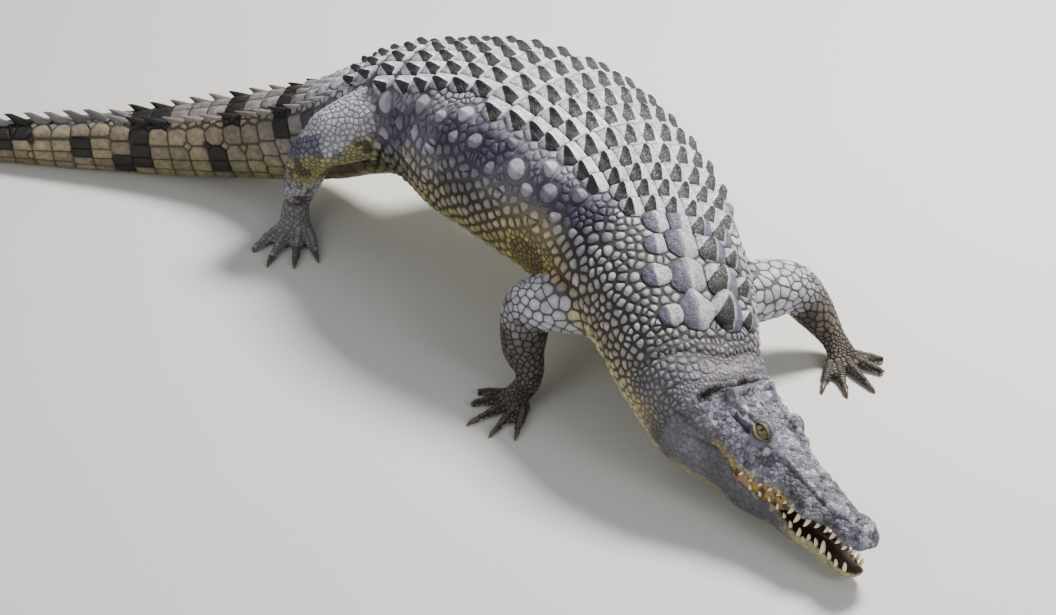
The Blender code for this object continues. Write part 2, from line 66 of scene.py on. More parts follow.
# ---- the flesh about the axis ---------------------------------------------------------------
HALF_WIDTH = [(0, 0.03), (SKULL, 0.123), (JAW_END, 0.138), (0.62, 0.168), (0.80, 0.205), (1.00, 0.248),
              (1.20, 0.266), (1.38, 0.240), (HIP, 0.162), (1.72, 0.120), (1.85, 0.104), (2.20, 0.070),
              (2.70, 0.035), (TAIL_TIP, 0.004)]
ABOVE = [(0, 0.03), (SKULL, 0.080), (JAW_END, 0.077), (0.62, 0.116), (0.80, 0.156), (1.00, 0.186),
         (1.20, 0.198), (1.38, 0.187), (HIP, 0.158), (1.72, 0.134), (1.95, 0.104), (2.20, 0.077),
         (2.45, 0.054), (2.70, 0.036), (3.00, 0.018), (TAIL_TIP, 0.005)]
BELOW = [(0, 0.03), (SKULL, 0.142), (JAW_END, 0.148), (0.62, 0.140), (0.80, 0.156), (1.00, 0.185),
         (1.20, 0.192), (1.38, 0.178), (HIP, 0.140), (1.72, 0.116), (2.20, 0.090), (2.45, 0.073),
         (2.70, 0.056), (3.00, 0.029), (TAIL_TIP, 0.006)]
BOXY = [(0, 2.2), (JAW_END, 2.3), (1.0, 2.25), (1.7, 2.3), (2.0, 2.7), (TAIL_TIP, 2.4)]
WHORL = 0.047  # one ring of tail plates, with its crest blade
CREST = [(1.50, 0), (1.72, 0.008), (1.95, 0.026), (2.20, 0.036), (2.60, 0.035), (2.90, 0.024),
         (3.12, 0.008), (TAIL_TIP, 0)]
CREST_SPREAD = [(1.50, 34), (1.95, 30), (2.25, 24), (2.42, 0), (TAIL_TIP, 0)]  # degrees off the top

# ---- the head, about the mouth line ---------------------------------------------------------
JAW_HALF = [(0, 0.024), (0.02, 0.040), (0.045, 0.045), (0.078, 0.039), (0.10, 0.046), (0.145, 0.061),
            (0.20, 0.061), (0.26, 0.075), (0.32, 0.094), (0.38, 0.112), (0.43, 0.127), (JAW_END, 0.138)]
HEAD_TOP = [(0, 0.012), (0.012, 0.026), (0.035, 0.037), (0.07, 0.032), (0.12, 0.033), (0.20, 0.041),
            (0.25, 0.050), (0.285, 0.059), (0.32, 0.067), (0.36, 0.074), (SKULL, 0.080), (0.45, 0.076),
            (JAW_END, 0.077)]
HEAD_BOXY = [(0, 2.1), (0.15, 2.4), (0.25, 2.1), (0.32, 1.75), (0.40, 1.85), (JAW_END, 2.3)]
MOUTH = [(0, -0.004), (0.03, -0.008), (0.078, -0.007), (0.14, -0.020), (0.205, -0.012), (0.27, -0.022),
         (0.32, -0.012), (0.36, 0.002), (0.40, 0.006), (JAW_END, 0)]
JAW_CORNER = 0.340
JAW_JOINT = 0.44
GAPE = 7.0  # degrees the mouth is open
LOW_HALF = [(0, 0.016), (0.02, 0.031), (0.05, 0.037), (0.078, 0.040), (0.11, 0.039), (0.15, 0.051),
            (0.20, 0.053), (0.26, 0.067), (0.32, 0.090), (0.38, 0.112), (0.43, 0.127), (JAW_END, 0.138)]
LOW_DEPTH = [(0, 0.016), (0.02, 0.030), (0.06, 0.040), (0.12, 0.056), (0.20, 0.078), (0.28, 0.104),
             (0.34, 0.122), (0.40, 0.138), (0.44, 0.145), (JAW_END, 0.148)]
EYE_AT = (0.303, 0.041, 0.0575)  # back, out, up
EYE_R = 0.021
ORBIT = (0.303, 0.042, 0.019)  # the mound over the eye: back, out, how high


def smooth(table, s):
    """A curve through (station, value) pairs that never overshoots them."""
    x, y = np.array(table, float).T
    d = np.diff(y) / np.diff(x)
    m = np.zeros(len(x))
    m[1:-1] = np.where(d[:-1] * d[1:] > 0, 2 * d[:-1] * d[1:] / (d[:-1] + d[1:] + 1e-12), 0)
    m[0], m[-1] = d[0], d[-1]
    s = np.clip(np.asarray(s, float), x[0], x[-1])
    i = np.clip(np.searchsorted(x, s, side="right") - 1, 0, len(x) - 2)
    h = x[i + 1] - x[i]
    u = (s - x[i]) / h
    return ((2 * u**3 - 3 * u**2 + 1) * y[i] + (u**3 - 2 * u**2 + u) * h * m[i]
            + (3 * u**2 - 2 * u**3) * y[i + 1] + (u**3 - u**2) * h * m[i + 1])


def unit(v):
    v = np.asarray(v, float)
    return v / np.linalg.norm(v, axis=-1, keepdims=True)


def around(n):
    """n angles, evenly round a circle."""
    return np.arange(n) * 2 * np.pi / n


def ovals_along(middle, half, side, deep, n=16, flat=1.0):
    """Rings of n corners about each middle, half as wide, across the directions side and deep."""
    angle = around(n)
    return middle[:, None] + half[:, None, None] * (flat * np.cos(angle)[None, :, None] * side[:, None]
                                                    + np.sin(angle)[None, :, None] * deep[:, None])


def walk_axis(step=0.005):
    s = np.arange(0, TAIL_TIP + step / 2, step)
    z = smooth(HEIGHT, s)
    flat = np.sqrt(np.maximum(1 - np.gradient(z, s) ** 2, 0.2))
    turn = np.radians(smooth(HEADING, s))
    dx, dy = -np.cos(turn) * flat, -np.sin(turn) * flat
    x = np.concatenate([[0], np.cumsum((dx[1:] + dx[:-1]) / 2 * step)])
    y = np.concatenate([[0], np.cumsum((dy[1:] + dy[:-1]) / 2 * step)])
    k = int(round(HIP / step))
    return s, np.stack([x - x[k] + ORIGIN_X, y - y[k] + ORIGIN_Y, z], 1)


AXIS_S, AXIS_P = walk_axis()


def axis_point(s):
    return np.stack([np.interp(s, AXIS_S, AXIS_P[:, k]) for k in range(3)], -1)


def frame_at(s):
    """Points on the axis and the forward, left and up directions there."""
    s = np.atleast_1d(np.asarray(s, float))
    f = unit(axis_point(np.clip(s - 0.01, 0, None)) - axis_point(np.clip(s + 0.01, None, TAIL_TIP)))
    left = unit(np.cross([0, 0, 1.0], f))
    up = np.cross(f, left)
    lean = np.radians(smooth(LEAN, s))[:, None]
    p = axis_point(s)
    return p, f, left * np.cos(lean) - up * np.sin(lean), up * np.cos(lean) + left * np.sin(lean)


def place(s, out, up):
    """World points from a station and the distances to the left of the axis and above it."""
    p, _, lv, uv = frame_at(np.ravel(s))
    return p + np.ravel(out)[:, None] * lv + np.ravel(up)[:, None] * uv


def power(c, e):
    return np.sign(c) * np.abs(c) ** e


# ---- the head ------------------------------------------------------------------------------------
def blob(u, v, at_u, at_v, wide_u, wide_v):
    return np.exp(-(((u - at_u) / wide_u) ** 2) - ((v - at_v) / wide_v) ** 2)


def head_top(u, angle):
    """Out and up of the skull's skin: angle runs from the right lip over the top to the left lip."""
    e = 2 / smooth(HEAD_BOXY, u)
    out = smooth(JAW_HALF, u) * power(np.sin(angle), e)
    lip = smooth(MOUTH, u)
    up = lip + (smooth(HEAD_TOP, u) - lip) * np.abs(np.cos(angle)) ** e
    v = np.abs(out)
    up = up + ORBIT[2] * blob(u, v, ORBIT[0], ORBIT[1], 0.030, 0.017)
    up = up - 0.004 * blob(u, v, 0.31, 0, 0.05, 0.014)
    up = up + 0.005 * blob(u, v, 0.035, 0, 0.020, 0.020)
    up = up + 0.005 * blob(u, v, 0.24, 0.033, 0.045, 0.010)
    up = up + 0.011 * blob(u, v, SKULL - 0.006, 0.052, 0.034, 0.018)
    return out, up


def drop(u):
    """How far the lower jaw has swung down."""
    open_by = np.clip((JAW_CORNER - u) / 0.05, 0, 1)
    return np.maximum((JAW_JOINT - u) * np.tan(np.radians(GAPE)) * open_by**2 * (3 - 2 * open_by), GAP)


# ---- the legs --------------------------------------------------------------------------------------
def course(points, t):
    """A smooth path through points, t running from 0 at the first to 1 at each next one."""
    points = np.array(points, float)
    k = np.arange(len(points), dtype=float)
    m = np.gradient(points, axis=0)
    t = np.clip(np.asarray(t, float), 0, len(points) - 1)
    i = np.clip(t.astype(int), 0, len(points) - 2)
    u = (t - k[i])[..., None]
    return ((2 * u**3 - 3 * u**2 + 1) * points[i] + (u**3 - 2 * u**2 + u) * m[i]
            + (3 * u**2 - 2 * u**3) * points[i + 1] + (u**3 - u**2) * m[i + 1])


def limb_rings(leg, ts, n, reach=0.5):
    """Rings down a leg. The leg holds its joints, a half width and a half depth at each, and the
    direction of the width at each. The rings turn with the path over this reach either way, so that
    they fan out round a bent joint and never cross."""
    rings = []
    angle = around(n)
    for t in ts:
        c = course(leg["joints"], t)
        last = len(leg["joints"]) - 1
        d = unit(course(leg["joints"], min(t + reach, last)) - course(leg["joints"], max(t - reach, 0)))
        side = course(leg["across"], t)
        side = unit(side - d * np.dot(side, d))
        deep = np.cross(d, side)
        k = np.arange(len(leg["wide"]))
        a, b = np.interp(t, k, leg["wide"]), np.interp(t, k, leg["deep"])
        rings.append(c + a * power(np.cos(angle), 0.9)[:, None] * side
                     + b * power(np.sin(angle), 0.9)[:, None] * deep)
    return rings


def digit_path(start, way, length, lift):
    """The bones of a toe: out from the palm, over the knuckle and down to the claw."""
    way = unit([way[0], way[1], 0])
    z = start[2]
    return [start, start + way * length * 0.45 + [0, 0, lift], np.array([*(start + way * length)[:2],
                                                                         z * 0.74])]


def from_hip(x, y, z):
    """A point given from the plan's own zero."""
    return np.array([x + ORIGIN_X, y + ORIGIN_Y, z])


FORE_DIGITS = [(0.024, 42, 0.062), (0.014, 20, 0.078), (0.001, -2, 0.082), (-0.012, -26, 0.070),
               (-0.022, -50, 0.052)]
HIND_DIGITS = [(0.026, 24, 0.078), (0.010, 8, 0.100), (-0.008, -8, 0.104), (-0.024, -26, 0.088)]
FORE = {"digits": FORE_DIGITS, "toe": 0.0115, "claw": 0.026}
HIND = {"digits": HIND_DIGITS, "toe": 0.0130, "claw": 0.028,
        "wide": [0.092, 0.088, 0.076, 0.058, 0.044, 0.031, 0.038],
        "deep": [0.080, 0.074, 0.062, 0.050, 0.040, 0.026, 0.018]}

RIGHT_FORE = {
    "joints": [from_hip(0.42, -0.60, 0.235), from_hip(0.350, -0.616, 0.228),
               from_hip(0.285, -0.607, 0.222), from_hip(0.206, -0.580, 0.188),
               from_hip(0.192, -0.602, 0.105), from_hip(0.203, -0.634, 0.050),
               from_hip(0.162, -0.670, 0.0135)],
    "across": [(-0.35, 0.9, 0), (-0.3, 0.9, 0.2), (-0.1, 1, 0.3), (-0.6, 0.8, 0),
               (-0.8, 0.6, 0), (-0.6, 0.8, 0), (-0.5, 0.86, 0)],
    "wide": [0.080, 0.074, 0.066, 0.058, 0.047, 0.030, 0.034],
    "deep": [0.075, 0.072, 0.066, 0.056, 0.044, 0.024, 0.016],
    "point": (-0.80, -0.60, 0), "inner": 1, **FORE,
}
LEFT_FORE = {
    "joints": [from_hip(0.54, -0.56, 0.20), from_hip(0.62, -0.520, 0.175),
               from_hip(0.695, -0.485, 0.165), from_hip(0.755, -0.462, 0.150),
               from_hip(0.800, -0.470, 0.100), from_hip(0.838, -0.492, 0.048),
               from_hip(0.866, -0.535, 0.0135)],
    "across": [(-0.35, 0.9, 0), (-0.3, 0.9, 0.1), (-0.3, 0.9, 0.2), (0.2, 0.9, 0),
               (0.5, 0.8, 0), (0.7, 0.6, 0), (0.9, 0.45, 0)],
    "wide": [0.078, 0.072, 0.064, 0.055, 0.045, 0.030, 0.034],
    "deep": [0.074, 0.070, 0.062, 0.053, 0.042, 0.024, 0.016],
    "point": (0.45, -0.89, 0), "inner": -1, **FORE,
}
RIGHT_HIND = {
    "joints": [from_hip(0.01, 0.01, 0.300), from_hip(-0.075, -0.020, 0.305),
               from_hip(-0.165, -0.045, 0.290), from_hip(-0.248, -0.055, 0.248),
               from_hip(-0.285, -0.015, 0.145), from_hip(-0.305, 0.028, 0.055),
               from_hip(-0.312, -0.032, 0.0160)],
    "across": [(0.5, 0.1, 1), (0.4, 0.1, 1), (0.3, 0.2, 1), (0.7, 0.3, 0.6),
               (0.9, 0.3, 0.2), (1, 0, 0), (1, 0, 0)],
    "point": (-0.18, -0.98, 0), "inner": 1, **HIND,
}
LEFT_HIND = {
    "joints": [from_hip(-0.02, 0.02, 0.285), from_hip(0.080, 0.085, 0.275),
               from_hip(0.165, 0.125, 0.250), from_hip(0.240, 0.160, 0.205),
               from_hip(0.235, 0.205, 0.125), from_hip(0.200, 0.235, 0.055),
               from_hip(0.262, 0.218, 0.0160)],
    "across": [(0.5, 0.1, 1), (0.4, 0.1, 1), (0.3, 0, 1), (0.7, -0.3, 0.6),
               (0.8, -0.4, 0.4), (0.5, 0.8, 0), (0.5, 0.8, 0)],
    "point": (0.90, -0.25, 0), "inner": -1, **HIND,
}


# ---- noise and small helpers ------------------------------------------------------------------------
def hashed(i, j, k, seed):
    h = (i * 374761393 + j * 668265263 + k * 2147483647 + seed * 1274126177) & 0xFFFFFFFF
    h = ((h ^ (h >> 13)) * 1274126177) & 0xFFFFFFFF
    return ((h ^ (h >> 16)) & 0xFFFF) / 65535.0


def noise(p, size, seed=0):
    """Smooth noise from 0 to 1 with lumps of this size in metres."""
    q = np.asarray(p, float) / size
    i = np.floor(q).astype(np.int64)
    f = q - i
    f = f * f * (3 - 2 * f)
    total = 0
    for a in (0, 1):
        for b in (0, 1):
            for c in (0, 1):
                w = (f[..., 0] if a else 1 - f[..., 0]) * (f[..., 1] if b else 1 - f[..., 1])
                w = w * (f[..., 2] if c else 1 - f[..., 2])
                total = total + w * hashed(i[..., 0] + a, i[..., 1] + b, i[..., 2] + c, seed)
    return total


def step(a, b, x):
    t = np.clip((np.asarray(x, float) - a) / (b - a), 0, 1)
    return t * t * (3 - 2 * t)


def mix(a, b, t):
    t = np.asarray(t, float)[..., None]
    return np.asarray(a) * (1 - t) + np.asarray(b) * t


def rgb(*values):
    """A colour from 0 to 255 values, as light."""
    v = np.array(values) / 255.0
    return np.where(v < 0.04045, v / 12.92, ((v + 0.055) / 1.055) ** 2.4)


def loft(rings):
    """Points and faces of a closed body through rings, each wound alike, with a fan over each end."""
    rings = np.array(rings)
    m, n, _ = rings.shape
    points = np.concatenate([rings.reshape(-1, 3), [rings[0].mean(0), rings[-1].mean(0)]])
    i, j = np.meshgrid(np.arange(m - 1), np.arange(n), indexing="ij")
    k = (j + 1) % n
    a, b, c, d = i * n + j, i * n + k, (i + 1) * n + k, (i + 1) * n + j
    faces = np.concatenate([np.stack([a, b, c], -1).reshape(-1, 3), np.stack([a, c, d], -1).reshape(-1, 3)])
    j = np.arange(n)
    k = (j + 1) % n
    ends = [np.stack([np.full(n, m * n), k, j], -1),
            np.stack([np.full(n, m * n + 1), (m - 1) * n + j, (m - 1) * n + k], -1)]
    faces = np.concatenate([faces, *ends])
    t = points[faces]
    if np.einsum("ij,ij->i", t[:, 0], np.cross(t[:, 1], t[:, 2])).sum() < 0:
        faces = faces[:, ::-1]
    return points, faces


def joined(bodies):
    points, faces, at = [], [], 0
    for p, f in bodies:
        points.append(p)
        faces.append(np.asarray(f) + at)
        at += len(p)
    return np.concatenate(points), np.concatenate(faces)


def add_object(name, data):
    obj = bpy.data.objects.new(name, data)
    bpy.context.scene.collection.objects.link(obj)
    return obj


def make_object(name, points, faces, mat, paint=None, uv=None, smooth_shade=True, blotches_and_keel_shade=None):
    """A mesh object from arrays; faces are rows of three or four corners. paint is a colour at each point, uv
    a place at each point for the map OFBake, and the last argument says where the black keel marks go: dark
    blotches, partly painted shade beside each keel."""
    mesh = bpy.data.meshes.new(name)
    faces = np.asarray(faces)
    sides = faces.shape[1]
    mesh.vertices.add(len(points))
    set_points(mesh, points)
    mesh.loops.add(faces.size)
    mesh.loops.foreach_set("vertex_index", faces.ravel().astype(np.int32))
    mesh.polygons.add(len(faces))
    mesh.polygons.foreach_set("loop_start", np.arange(0, faces.size, sides, dtype=np.int32))
    mesh.update(calc_edges=True)
    mesh.polygons.foreach_set("use_smooth", np.full(len(faces), smooth_shade))
    if paint is not None:
        attribute = mesh.color_attributes.new("paint", "FLOAT_COLOR", "POINT")
        blotches_and_keel_shade = np.zeros(len(points)) if blotches_and_keel_shade is None else blotches_and_keel_shade
        four = np.concatenate([np.asarray(paint), blotches_and_keel_shade[:, None]], 1)
        attribute.data.foreach_set("color", four.astype(np.float32).ravel())
    if uv is not None:
        layer = mesh.uv_layers.new(name="OFBake")
        layer.data.foreach_set("uv", np.asarray(uv)[faces.ravel()].astype(np.float32).ravel())
    mesh.materials.append(mat)
    mesh.validate()
    return add_object(name, mesh)


# ---- where a point is on the animal -----------------------------------------------------------------
def body_surface(s, angle, grow=0.0):
    s, angle, grow = (x.ravel() for x in np.broadcast_arrays(
        np.asarray(s, float), np.asarray(angle, float), np.asarray(grow, float)))
    e = 2 / smooth(BOXY, s)
    half, above, below = (np.maximum(smooth(t, s) + grow, 0.0022) for t in (HALF_WIDTH, ABOVE, BELOW))
    c = power(np.cos(angle), e)
    return place(s, half * power(np.sin(angle), e), np.where(c > 0, above * c, below * c))


def locate(p):
    """Station, distance to the left of the axis and distance above it, of points about the body."""
    p = np.asarray(p, float)
    s = np.empty(len(p))
    coarse_p, coarse_s = AXIS_P[::4], AXIS_S[::4]
    for i in range(0, len(p), 20000):
        d = ((p[i:i + 20000, None] - coarse_p[None]) ** 2).sum(-1)
        s[i:i + 20000] = coarse_s[d.argmin(1)]
    for _ in range(5):
        q, f, _, _ = frame_at(s)
        s = np.clip(s - 0.8 * ((p - q) * f).sum(1), 0, TAIL_TIP)
    q, _, lv, uv = frame_at(s)
    return s, ((p - q) * lv).sum(1), ((p - q) * uv).sum(1)


def body_angle(s, out, up):
    """The angle about the body, 0 on top and positive to the left, and how far out of the flesh it is."""
    e = 2 / smooth(BOXY, s)
    a = power(out / smooth(HALF_WIDTH, s), 1 / e)
    c = power(up / np.where(up > 0, smooth(ABOVE, s), smooth(BELOW, s)), 1 / e)
    return np.arctan2(a, c), np.hypot(a, c)


LEGS = (RIGHT_FORE, LEFT_FORE, RIGHT_HIND, LEFT_HIND)
LEG_T = np.linspace(0, 6, 121)


def leg_locate(leg, p):
    """How far down a leg each point is, its angle about the leg and its distance as a share of the leg's
    own thickness."""
    path = course(leg["joints"], LEG_T)
    d = ((np.asarray(p)[:, None] - path[None]) ** 2).sum(-1)
    i = d.argmin(1)
    t = LEG_T[i]
    k = np.arange(len(leg["wide"]))
    thick = (np.interp(t, k, leg["wide"]) + np.interp(t, k, leg["deep"])) / 2
    joints = leg["joints"]
    along = unit(course(joints, np.minimum(t + 0.1, 6)) - course(joints, np.maximum(t - 0.1, 0)))
    side = course(leg["across"], t)
    side = unit(side - along * (side * along).sum(1, keepdims=True))
    deep = np.cross(along, side)
    v = p - path[i]
    return t, np.arctan2((v * deep).sum(1), (v * side).sum(1)), np.sqrt(d.min(1)) / thick, along


# ---- the flesh, as closed bodies --------------------------------------------------------------------
COAT = [(0, 0.002), (SKULL, 0.003), (0.60, 0.005), (0.85, 0.007), (1.60, 0.006), (2.20, 0.005),
        (2.90, 0.0035), (TAIL_TIP, 0.001)]


def head_section(u, n=61, roof_n=19):
    """A ring round the upper head: the skin over the top, then the palate, hollowed behind the lip."""
    angle = np.radians(np.linspace(-90, 90, n))
    out, up = head_top(np.full(n, u), angle)
    half, lip = float(smooth(JAW_HALF, u)), float(smooth(MOUTH, u))
    across = np.linspace(1, -1, roof_n + 2)[1:-1]
    hollow = 0.012 * float(step(0.0, 0.04, u)) * float(step(JAW_CORNER + 0.01, JAW_CORNER - 0.06, u))
    roof = lip + hollow * step(1.0, 0.72, np.abs(across))
    return place(np.full(n + roof_n, u), np.concatenate([out, across * half]), np.concatenate([up, roof]))


def jaw_section(u, n=49, floor_n=19):
    angle = np.radians(np.linspace(-90, 90, n))
    half, deep = float(smooth(LOW_HALF, u)), float(smooth(LOW_DEPTH, u))
    lip = float(smooth(MOUTH, u) - drop(u))
    e = 2 / 2.3
    up = lip - (deep + float(drop(u)) + lip) * np.abs(np.cos(angle)) ** e
    across = np.linspace(1, -1, floor_n + 2)[1:-1]
    hollow = 0.010 * float(step(0.0, 0.04, u)) * float(step(JAW_CORNER + 0.01, JAW_CORNER - 0.06, u))
    floor = lip - hollow * step(1.0, 0.74, np.abs(across)) * (1 - 0.9 * step(0.5, 0.0, np.abs(across)))
    out = np.concatenate([half * power(np.sin(angle), e), across * half])
    return place(np.full(n + floor_n, u), out, np.concatenate([up, floor]))


def digits_of(leg):
    """The path, half thickness and sideways direction of each toe."""
    front = unit(leg["point"])
    across = unit(np.cross([0, 0, 1.0], front)) * leg["inner"]
    made = []
    for shift, turn, length in leg["digits"]:
        way = front * np.cos(np.radians(turn)) + across * np.sin(np.radians(turn))
        start = np.array(leg["joints"][-1]) + across * shift - front * 0.022
        start[2] = leg["toe"] * 0.76
        made.append((digit_path(start, way, length + 0.022, 0.003), across))
    return made


def toe_loft(leg, path, across):
    """A toe with its knuckles, as a closed body."""
    t = np.linspace(0, 2, 33)
    thick = leg["toe"]
    swell = 1 + 0.10 * np.cos((t - 0.05) * 2 * np.pi / 0.62)
    k = np.interp(t, [0, 1, 1.7, 2], [1.05, 0.95, 0.74, 0.60]) * thick * swell
    c = course(path, t)
    d = unit(np.gradient(c, axis=0))
    side = unit(across - d * (d @ across)[:, None])
    deep = np.cross(d, side)
    return loft(ovals_along(c, k, side, deep))


def web(a, b):
    """The skin between two toes of a hind foot."""
    rings = []
    for t in np.linspace(0.1, 1.25, 12):
        p, q = course(a[0], t), course(b[0], t)
        middle, half = (p + q) / 2, np.linalg.norm(p - q) / 2
        side = unit(q - p)
        angle = around(12)
        high = 0.0052 * (1 - 0.35 * t)
        middle[2] = max(min(middle[2], 0.010), 0.005)
        rings.append(middle + half * np.cos(angle)[:, None] * side
                     + high * np.sin(angle)[:, None] * [0, 0, 1.0])
    return loft(rings)


def flesh():
    n = 96
    angle = around(n)
    s = np.concatenate([np.arange(0.452, 3.19, 0.010), [TAIL_TIP - 0.004]])
    grid_s, grid_a = np.meshgrid(s, angle, indexing="ij")
    depth = smooth(COAT, grid_s.ravel()).reshape(grid_s.shape)
    bodies = [loft(body_surface(grid_s, grid_a, -depth).reshape(len(s), n, 3))]
    u = np.concatenate([[0.0, 0.0015, 0.004], np.arange(0.008, JAW_END + 0.012, 0.004)])
    for section in (head_section, jaw_section):
        rings = np.array([section(x) for x in u])
        rings[0] = rings[0].mean(0) + (rings[0] - rings[0].mean(0)) * 0.35
        rings[1] = rings[1].mean(0) + (rings[1] - rings[1].mean(0)) * 0.75
        bodies.append(loft(rings))
    for leg in LEGS:
        thin = dict(leg, wide=[w - 0.003 for w in leg["wide"]], deep=[w - 0.003 for w in leg["deep"]])
        bodies.append(loft(limb_rings(thin, np.linspace(0.5, 6, 90), 40)))
        toes = digits_of(leg)
        bodies += [toe_loft(leg, path, across) for path, across in toes]
        if leg["digits"] is HIND_DIGITS:
            bodies += [web(a, b) for a, b in zip(toes, toes[1:])]
    return joined(bodies)


# ---- the skin -----------------------------------------------------------------------------------------
VOXEL = 0.0074  # the size of the skin's faces before the head is made finer


def remeshed(points, faces, size):
    obj = make_object("flesh", points, faces, bpy.data.materials.new("none"))
    mod = obj.modifiers.new("one", "REMESH")
    mod.mode = "VOXEL"
    mod.voxel_size = size
    graph = bpy.context.evaluated_depsgraph_get()
    mesh = bpy.data.meshes.new_from_object(obj.evaluated_get(graph))
    bpy.data.objects.remove(obj)
    return mesh


def set_points(mesh, points):
    mesh.vertices.foreach_set("co", np.asarray(points, np.float32).ravel())


def mesh_arrays(mesh):
    points = np.empty(len(mesh.vertices) * 3, np.float32)
    mesh.vertices.foreach_get("co", points)
    edges = np.empty(len(mesh.edges) * 2, np.int32)
    mesh.edges.foreach_get("vertices", edges)
    normals = np.empty(len(mesh.vertices) * 3, np.float32)
    mesh.vertices.foreach_get("normal", normals)
    return (points.reshape(-1, 3).astype(float), edges.reshape(-1, 2), normals.reshape(-1, 3).astype(float))


def relax(points, edges, amount, rounds):
    """Evens out a mesh without shrinking it. amount is a number for each point."""
    count = np.maximum(np.bincount(edges.ravel(), minlength=len(points)), 1)[:, None]
    for _ in range(rounds):
        for push in (0.5, -0.52):
            total = np.stack([np.bincount(edges[:, 0], points[edges[:, 1], k], len(points))
                              + np.bincount(edges[:, 1], points[edges[:, 0], k], len(points))
                              for k in range(3)], 1)
            points = points + push * amount[:, None] * (total / count - points)
    return points


# what a point of the hide belongs to; the legs come in the order of LEGS
BODY, FORELEGS, HINDLEGS, UPPER_HEAD, LOWER_JAW, IN_MOUTH = 0, (1, 2), (3, 4), 5, 6, 7
ALL_LEGS = FORELEGS + HINDLEGS
EYES = [(word, side, place(EYE_AT[0], side * EYE_AT[1], EYE_AT[2])[0])
        for side, word in ((1, "left"), (-1, "right"))]


def eye_frame(side):
    """The eye's own directions: along its slit towards the snout, up across the slit, and outwards."""
    _, f, lv, uv = (v[0] for v in frame_at(EYE_AT[0]))
    look = unit(side * lv * 0.80 + uv * 0.56 + f * 0.20)
    along = unit(f * 0.96 - uv * 0.20 + side * lv * 0.0)
    along = unit(along - look * np.dot(along, look))
    up = np.cross(look, along)
    if np.dot(up, uv) < 0:
        up = -up
    return along, up, look


LID_EDGE = 0.17  # the lids meet the skin where the way out makes this cosine with the way the eye looks


def set_eyes(points, edges):
    """Rounds the skin over each eyeball, runs it into the skull, then draws it in behind the lids."""
    def about(centre, look):
        v = points - centre
        d = np.linalg.norm(v, axis=1)
        near = np.flatnonzero(d < EYE_R * 2.6)
        return near, v[near] / np.maximum(d[near], 1e-6)[:, None], d[near], (v[near] @ look) / np.maximum(
            d[near], 1e-6)

    for _, side, centre in EYES:
        along, up, look = eye_frame(side)
        near = about(centre, look)[0]
        index = np.full(len(points), -1)
        index[near] = np.arange(len(near))
        inner_edges = index[edges[(index[edges] >= 0).all(1)]]
        for grow, rounds in ((1.16, 10), (1.15, 5), (1.13, 2)):
            v = points[near] - centre
            d = np.linalg.norm(v, axis=1)
            pushed = centre + v * np.maximum(1, EYE_R * grow / d)[:, None]
            points[near] = relax(pushed, inner_edges, step(2.4, 1.7, d / EYE_R), rounds)
        near, way, d, cos = about(centre, look)
        inside = step(LID_EDGE + 0.06, 0.62, cos)
        d = np.maximum(d, EYE_R * 1.12) * (1 - inside) + EYE_R * (1.12 - 0.55 * inside) * inside
        points[near] = centre + way * d[:, None]
        x, y, z = ((points[near] - centre) @ way_on for way_on in (along, up, look))
        brow = 0.0056 * hump(y - 0.0205 + 5.0 * x**2, 0.0046) * step(0.046, 0.026, np.abs(x)) * step(
            -0.012, 0.002, z)
        crease = hump(y + 0.0006 - 0.10 * (x + 0.022), 0.0022) * step(-0.019, -0.024, x)
        crease = crease * step(-0.052, -0.040, x)
        points[near] -= 0.0035 * crease[:, None] * look
        points[near] += brow[:, None] * unit(look * 0.5 + up)
    return points


def regions(points, normals):
    """What each point of the skin belongs to, and where on it."""
    s, out, up = locate(points)
    angle, rho = body_angle(s, out, up)
    where = {"s": s, "out": out, "up": up, "angle": angle, "rho": rho}
    part = np.zeros(len(points), int)
    along = -frame_at(s)[1]
    t_leg, phi = np.zeros(len(points)), np.zeros(len(points))
    for i, leg in enumerate(LEGS):
        t, a, ratio, direction = leg_locate(leg, points)
        mine = (rho > 1.035) & (ratio < 1.9) & (s > 0.5) & ((t > 0.9) | (rho > 1.08))
        mine |= (t > 5.3) & (ratio < 6) & (points[:, 2] < 0.05) & (rho > 1.1)
        if i >= 2:
            mine |= (ratio < 1.12) & (t > 1.5) & (s > 1.2) & (rho > 0.99)
        part[mine] = i + 1
        t_leg[mine], phi[mine] = t[mine], a[mine]
        along[mine] = direction[mine]
    ahead = (s < JAW_END - 0.015) & (part == BODY)
    lip = smooth(MOUTH, s)
    jaw = ahead & (up < lip - drop(s) / 2)
    part[ahead] = UPPER_HEAD
    part[jaw] = LOWER_JAW
    _, _, _, uv = frame_at(s)
    facing = (normals * uv).sum(1)
    half = np.where(jaw, smooth(LOW_HALF, s), smooth(JAW_HALF, s))
    mouth = ahead & (s < JAW_CORNER + 0.004) & (np.abs(out) < half - 0.003) & (
        ((part == UPPER_HEAD) & (facing < -0.25) & (up < lip + 0.016))
        | ((part == LOWER_JAW) & (facing > 0.25) & (up > lip - drop(s) - 0.014)))
    part[mouth] = IN_MOUTH
    where.update(part=part, t=t_leg, phi=phi, along=along, lip=lip, facing=normals[:, 2])
    return where


# ---- the markings and the painted light and shade, for the skin and the scales alike ------------------
PALE = rgb(196, 194, 204)
STONE = rgb(134, 131, 131)
SLATE = rgb(72, 69, 90)
TAN = rgb(146, 132, 108)
OLIVE = rgb(132, 124, 78)
YELLOW = rgb(166, 156, 88)
CREAM = rgb(190, 184, 140)
GOLD = rgb(168, 148, 86)
BLACK = rgb(34, 30, 28)
HEAD_BLUE = rgb(114, 110, 124)
HEAD_DARK = rgb(64, 60, 64)
JAW_GREY = rgb(84, 83, 88)
EARTH = rgb(112, 102, 94)


def armpit(s, angle):
    """Where the small golden scales behind the arm are."""
    return np.exp(-(((s - 0.96) / 0.13) ** 2) - (((angle - 112) / 24) ** 2))


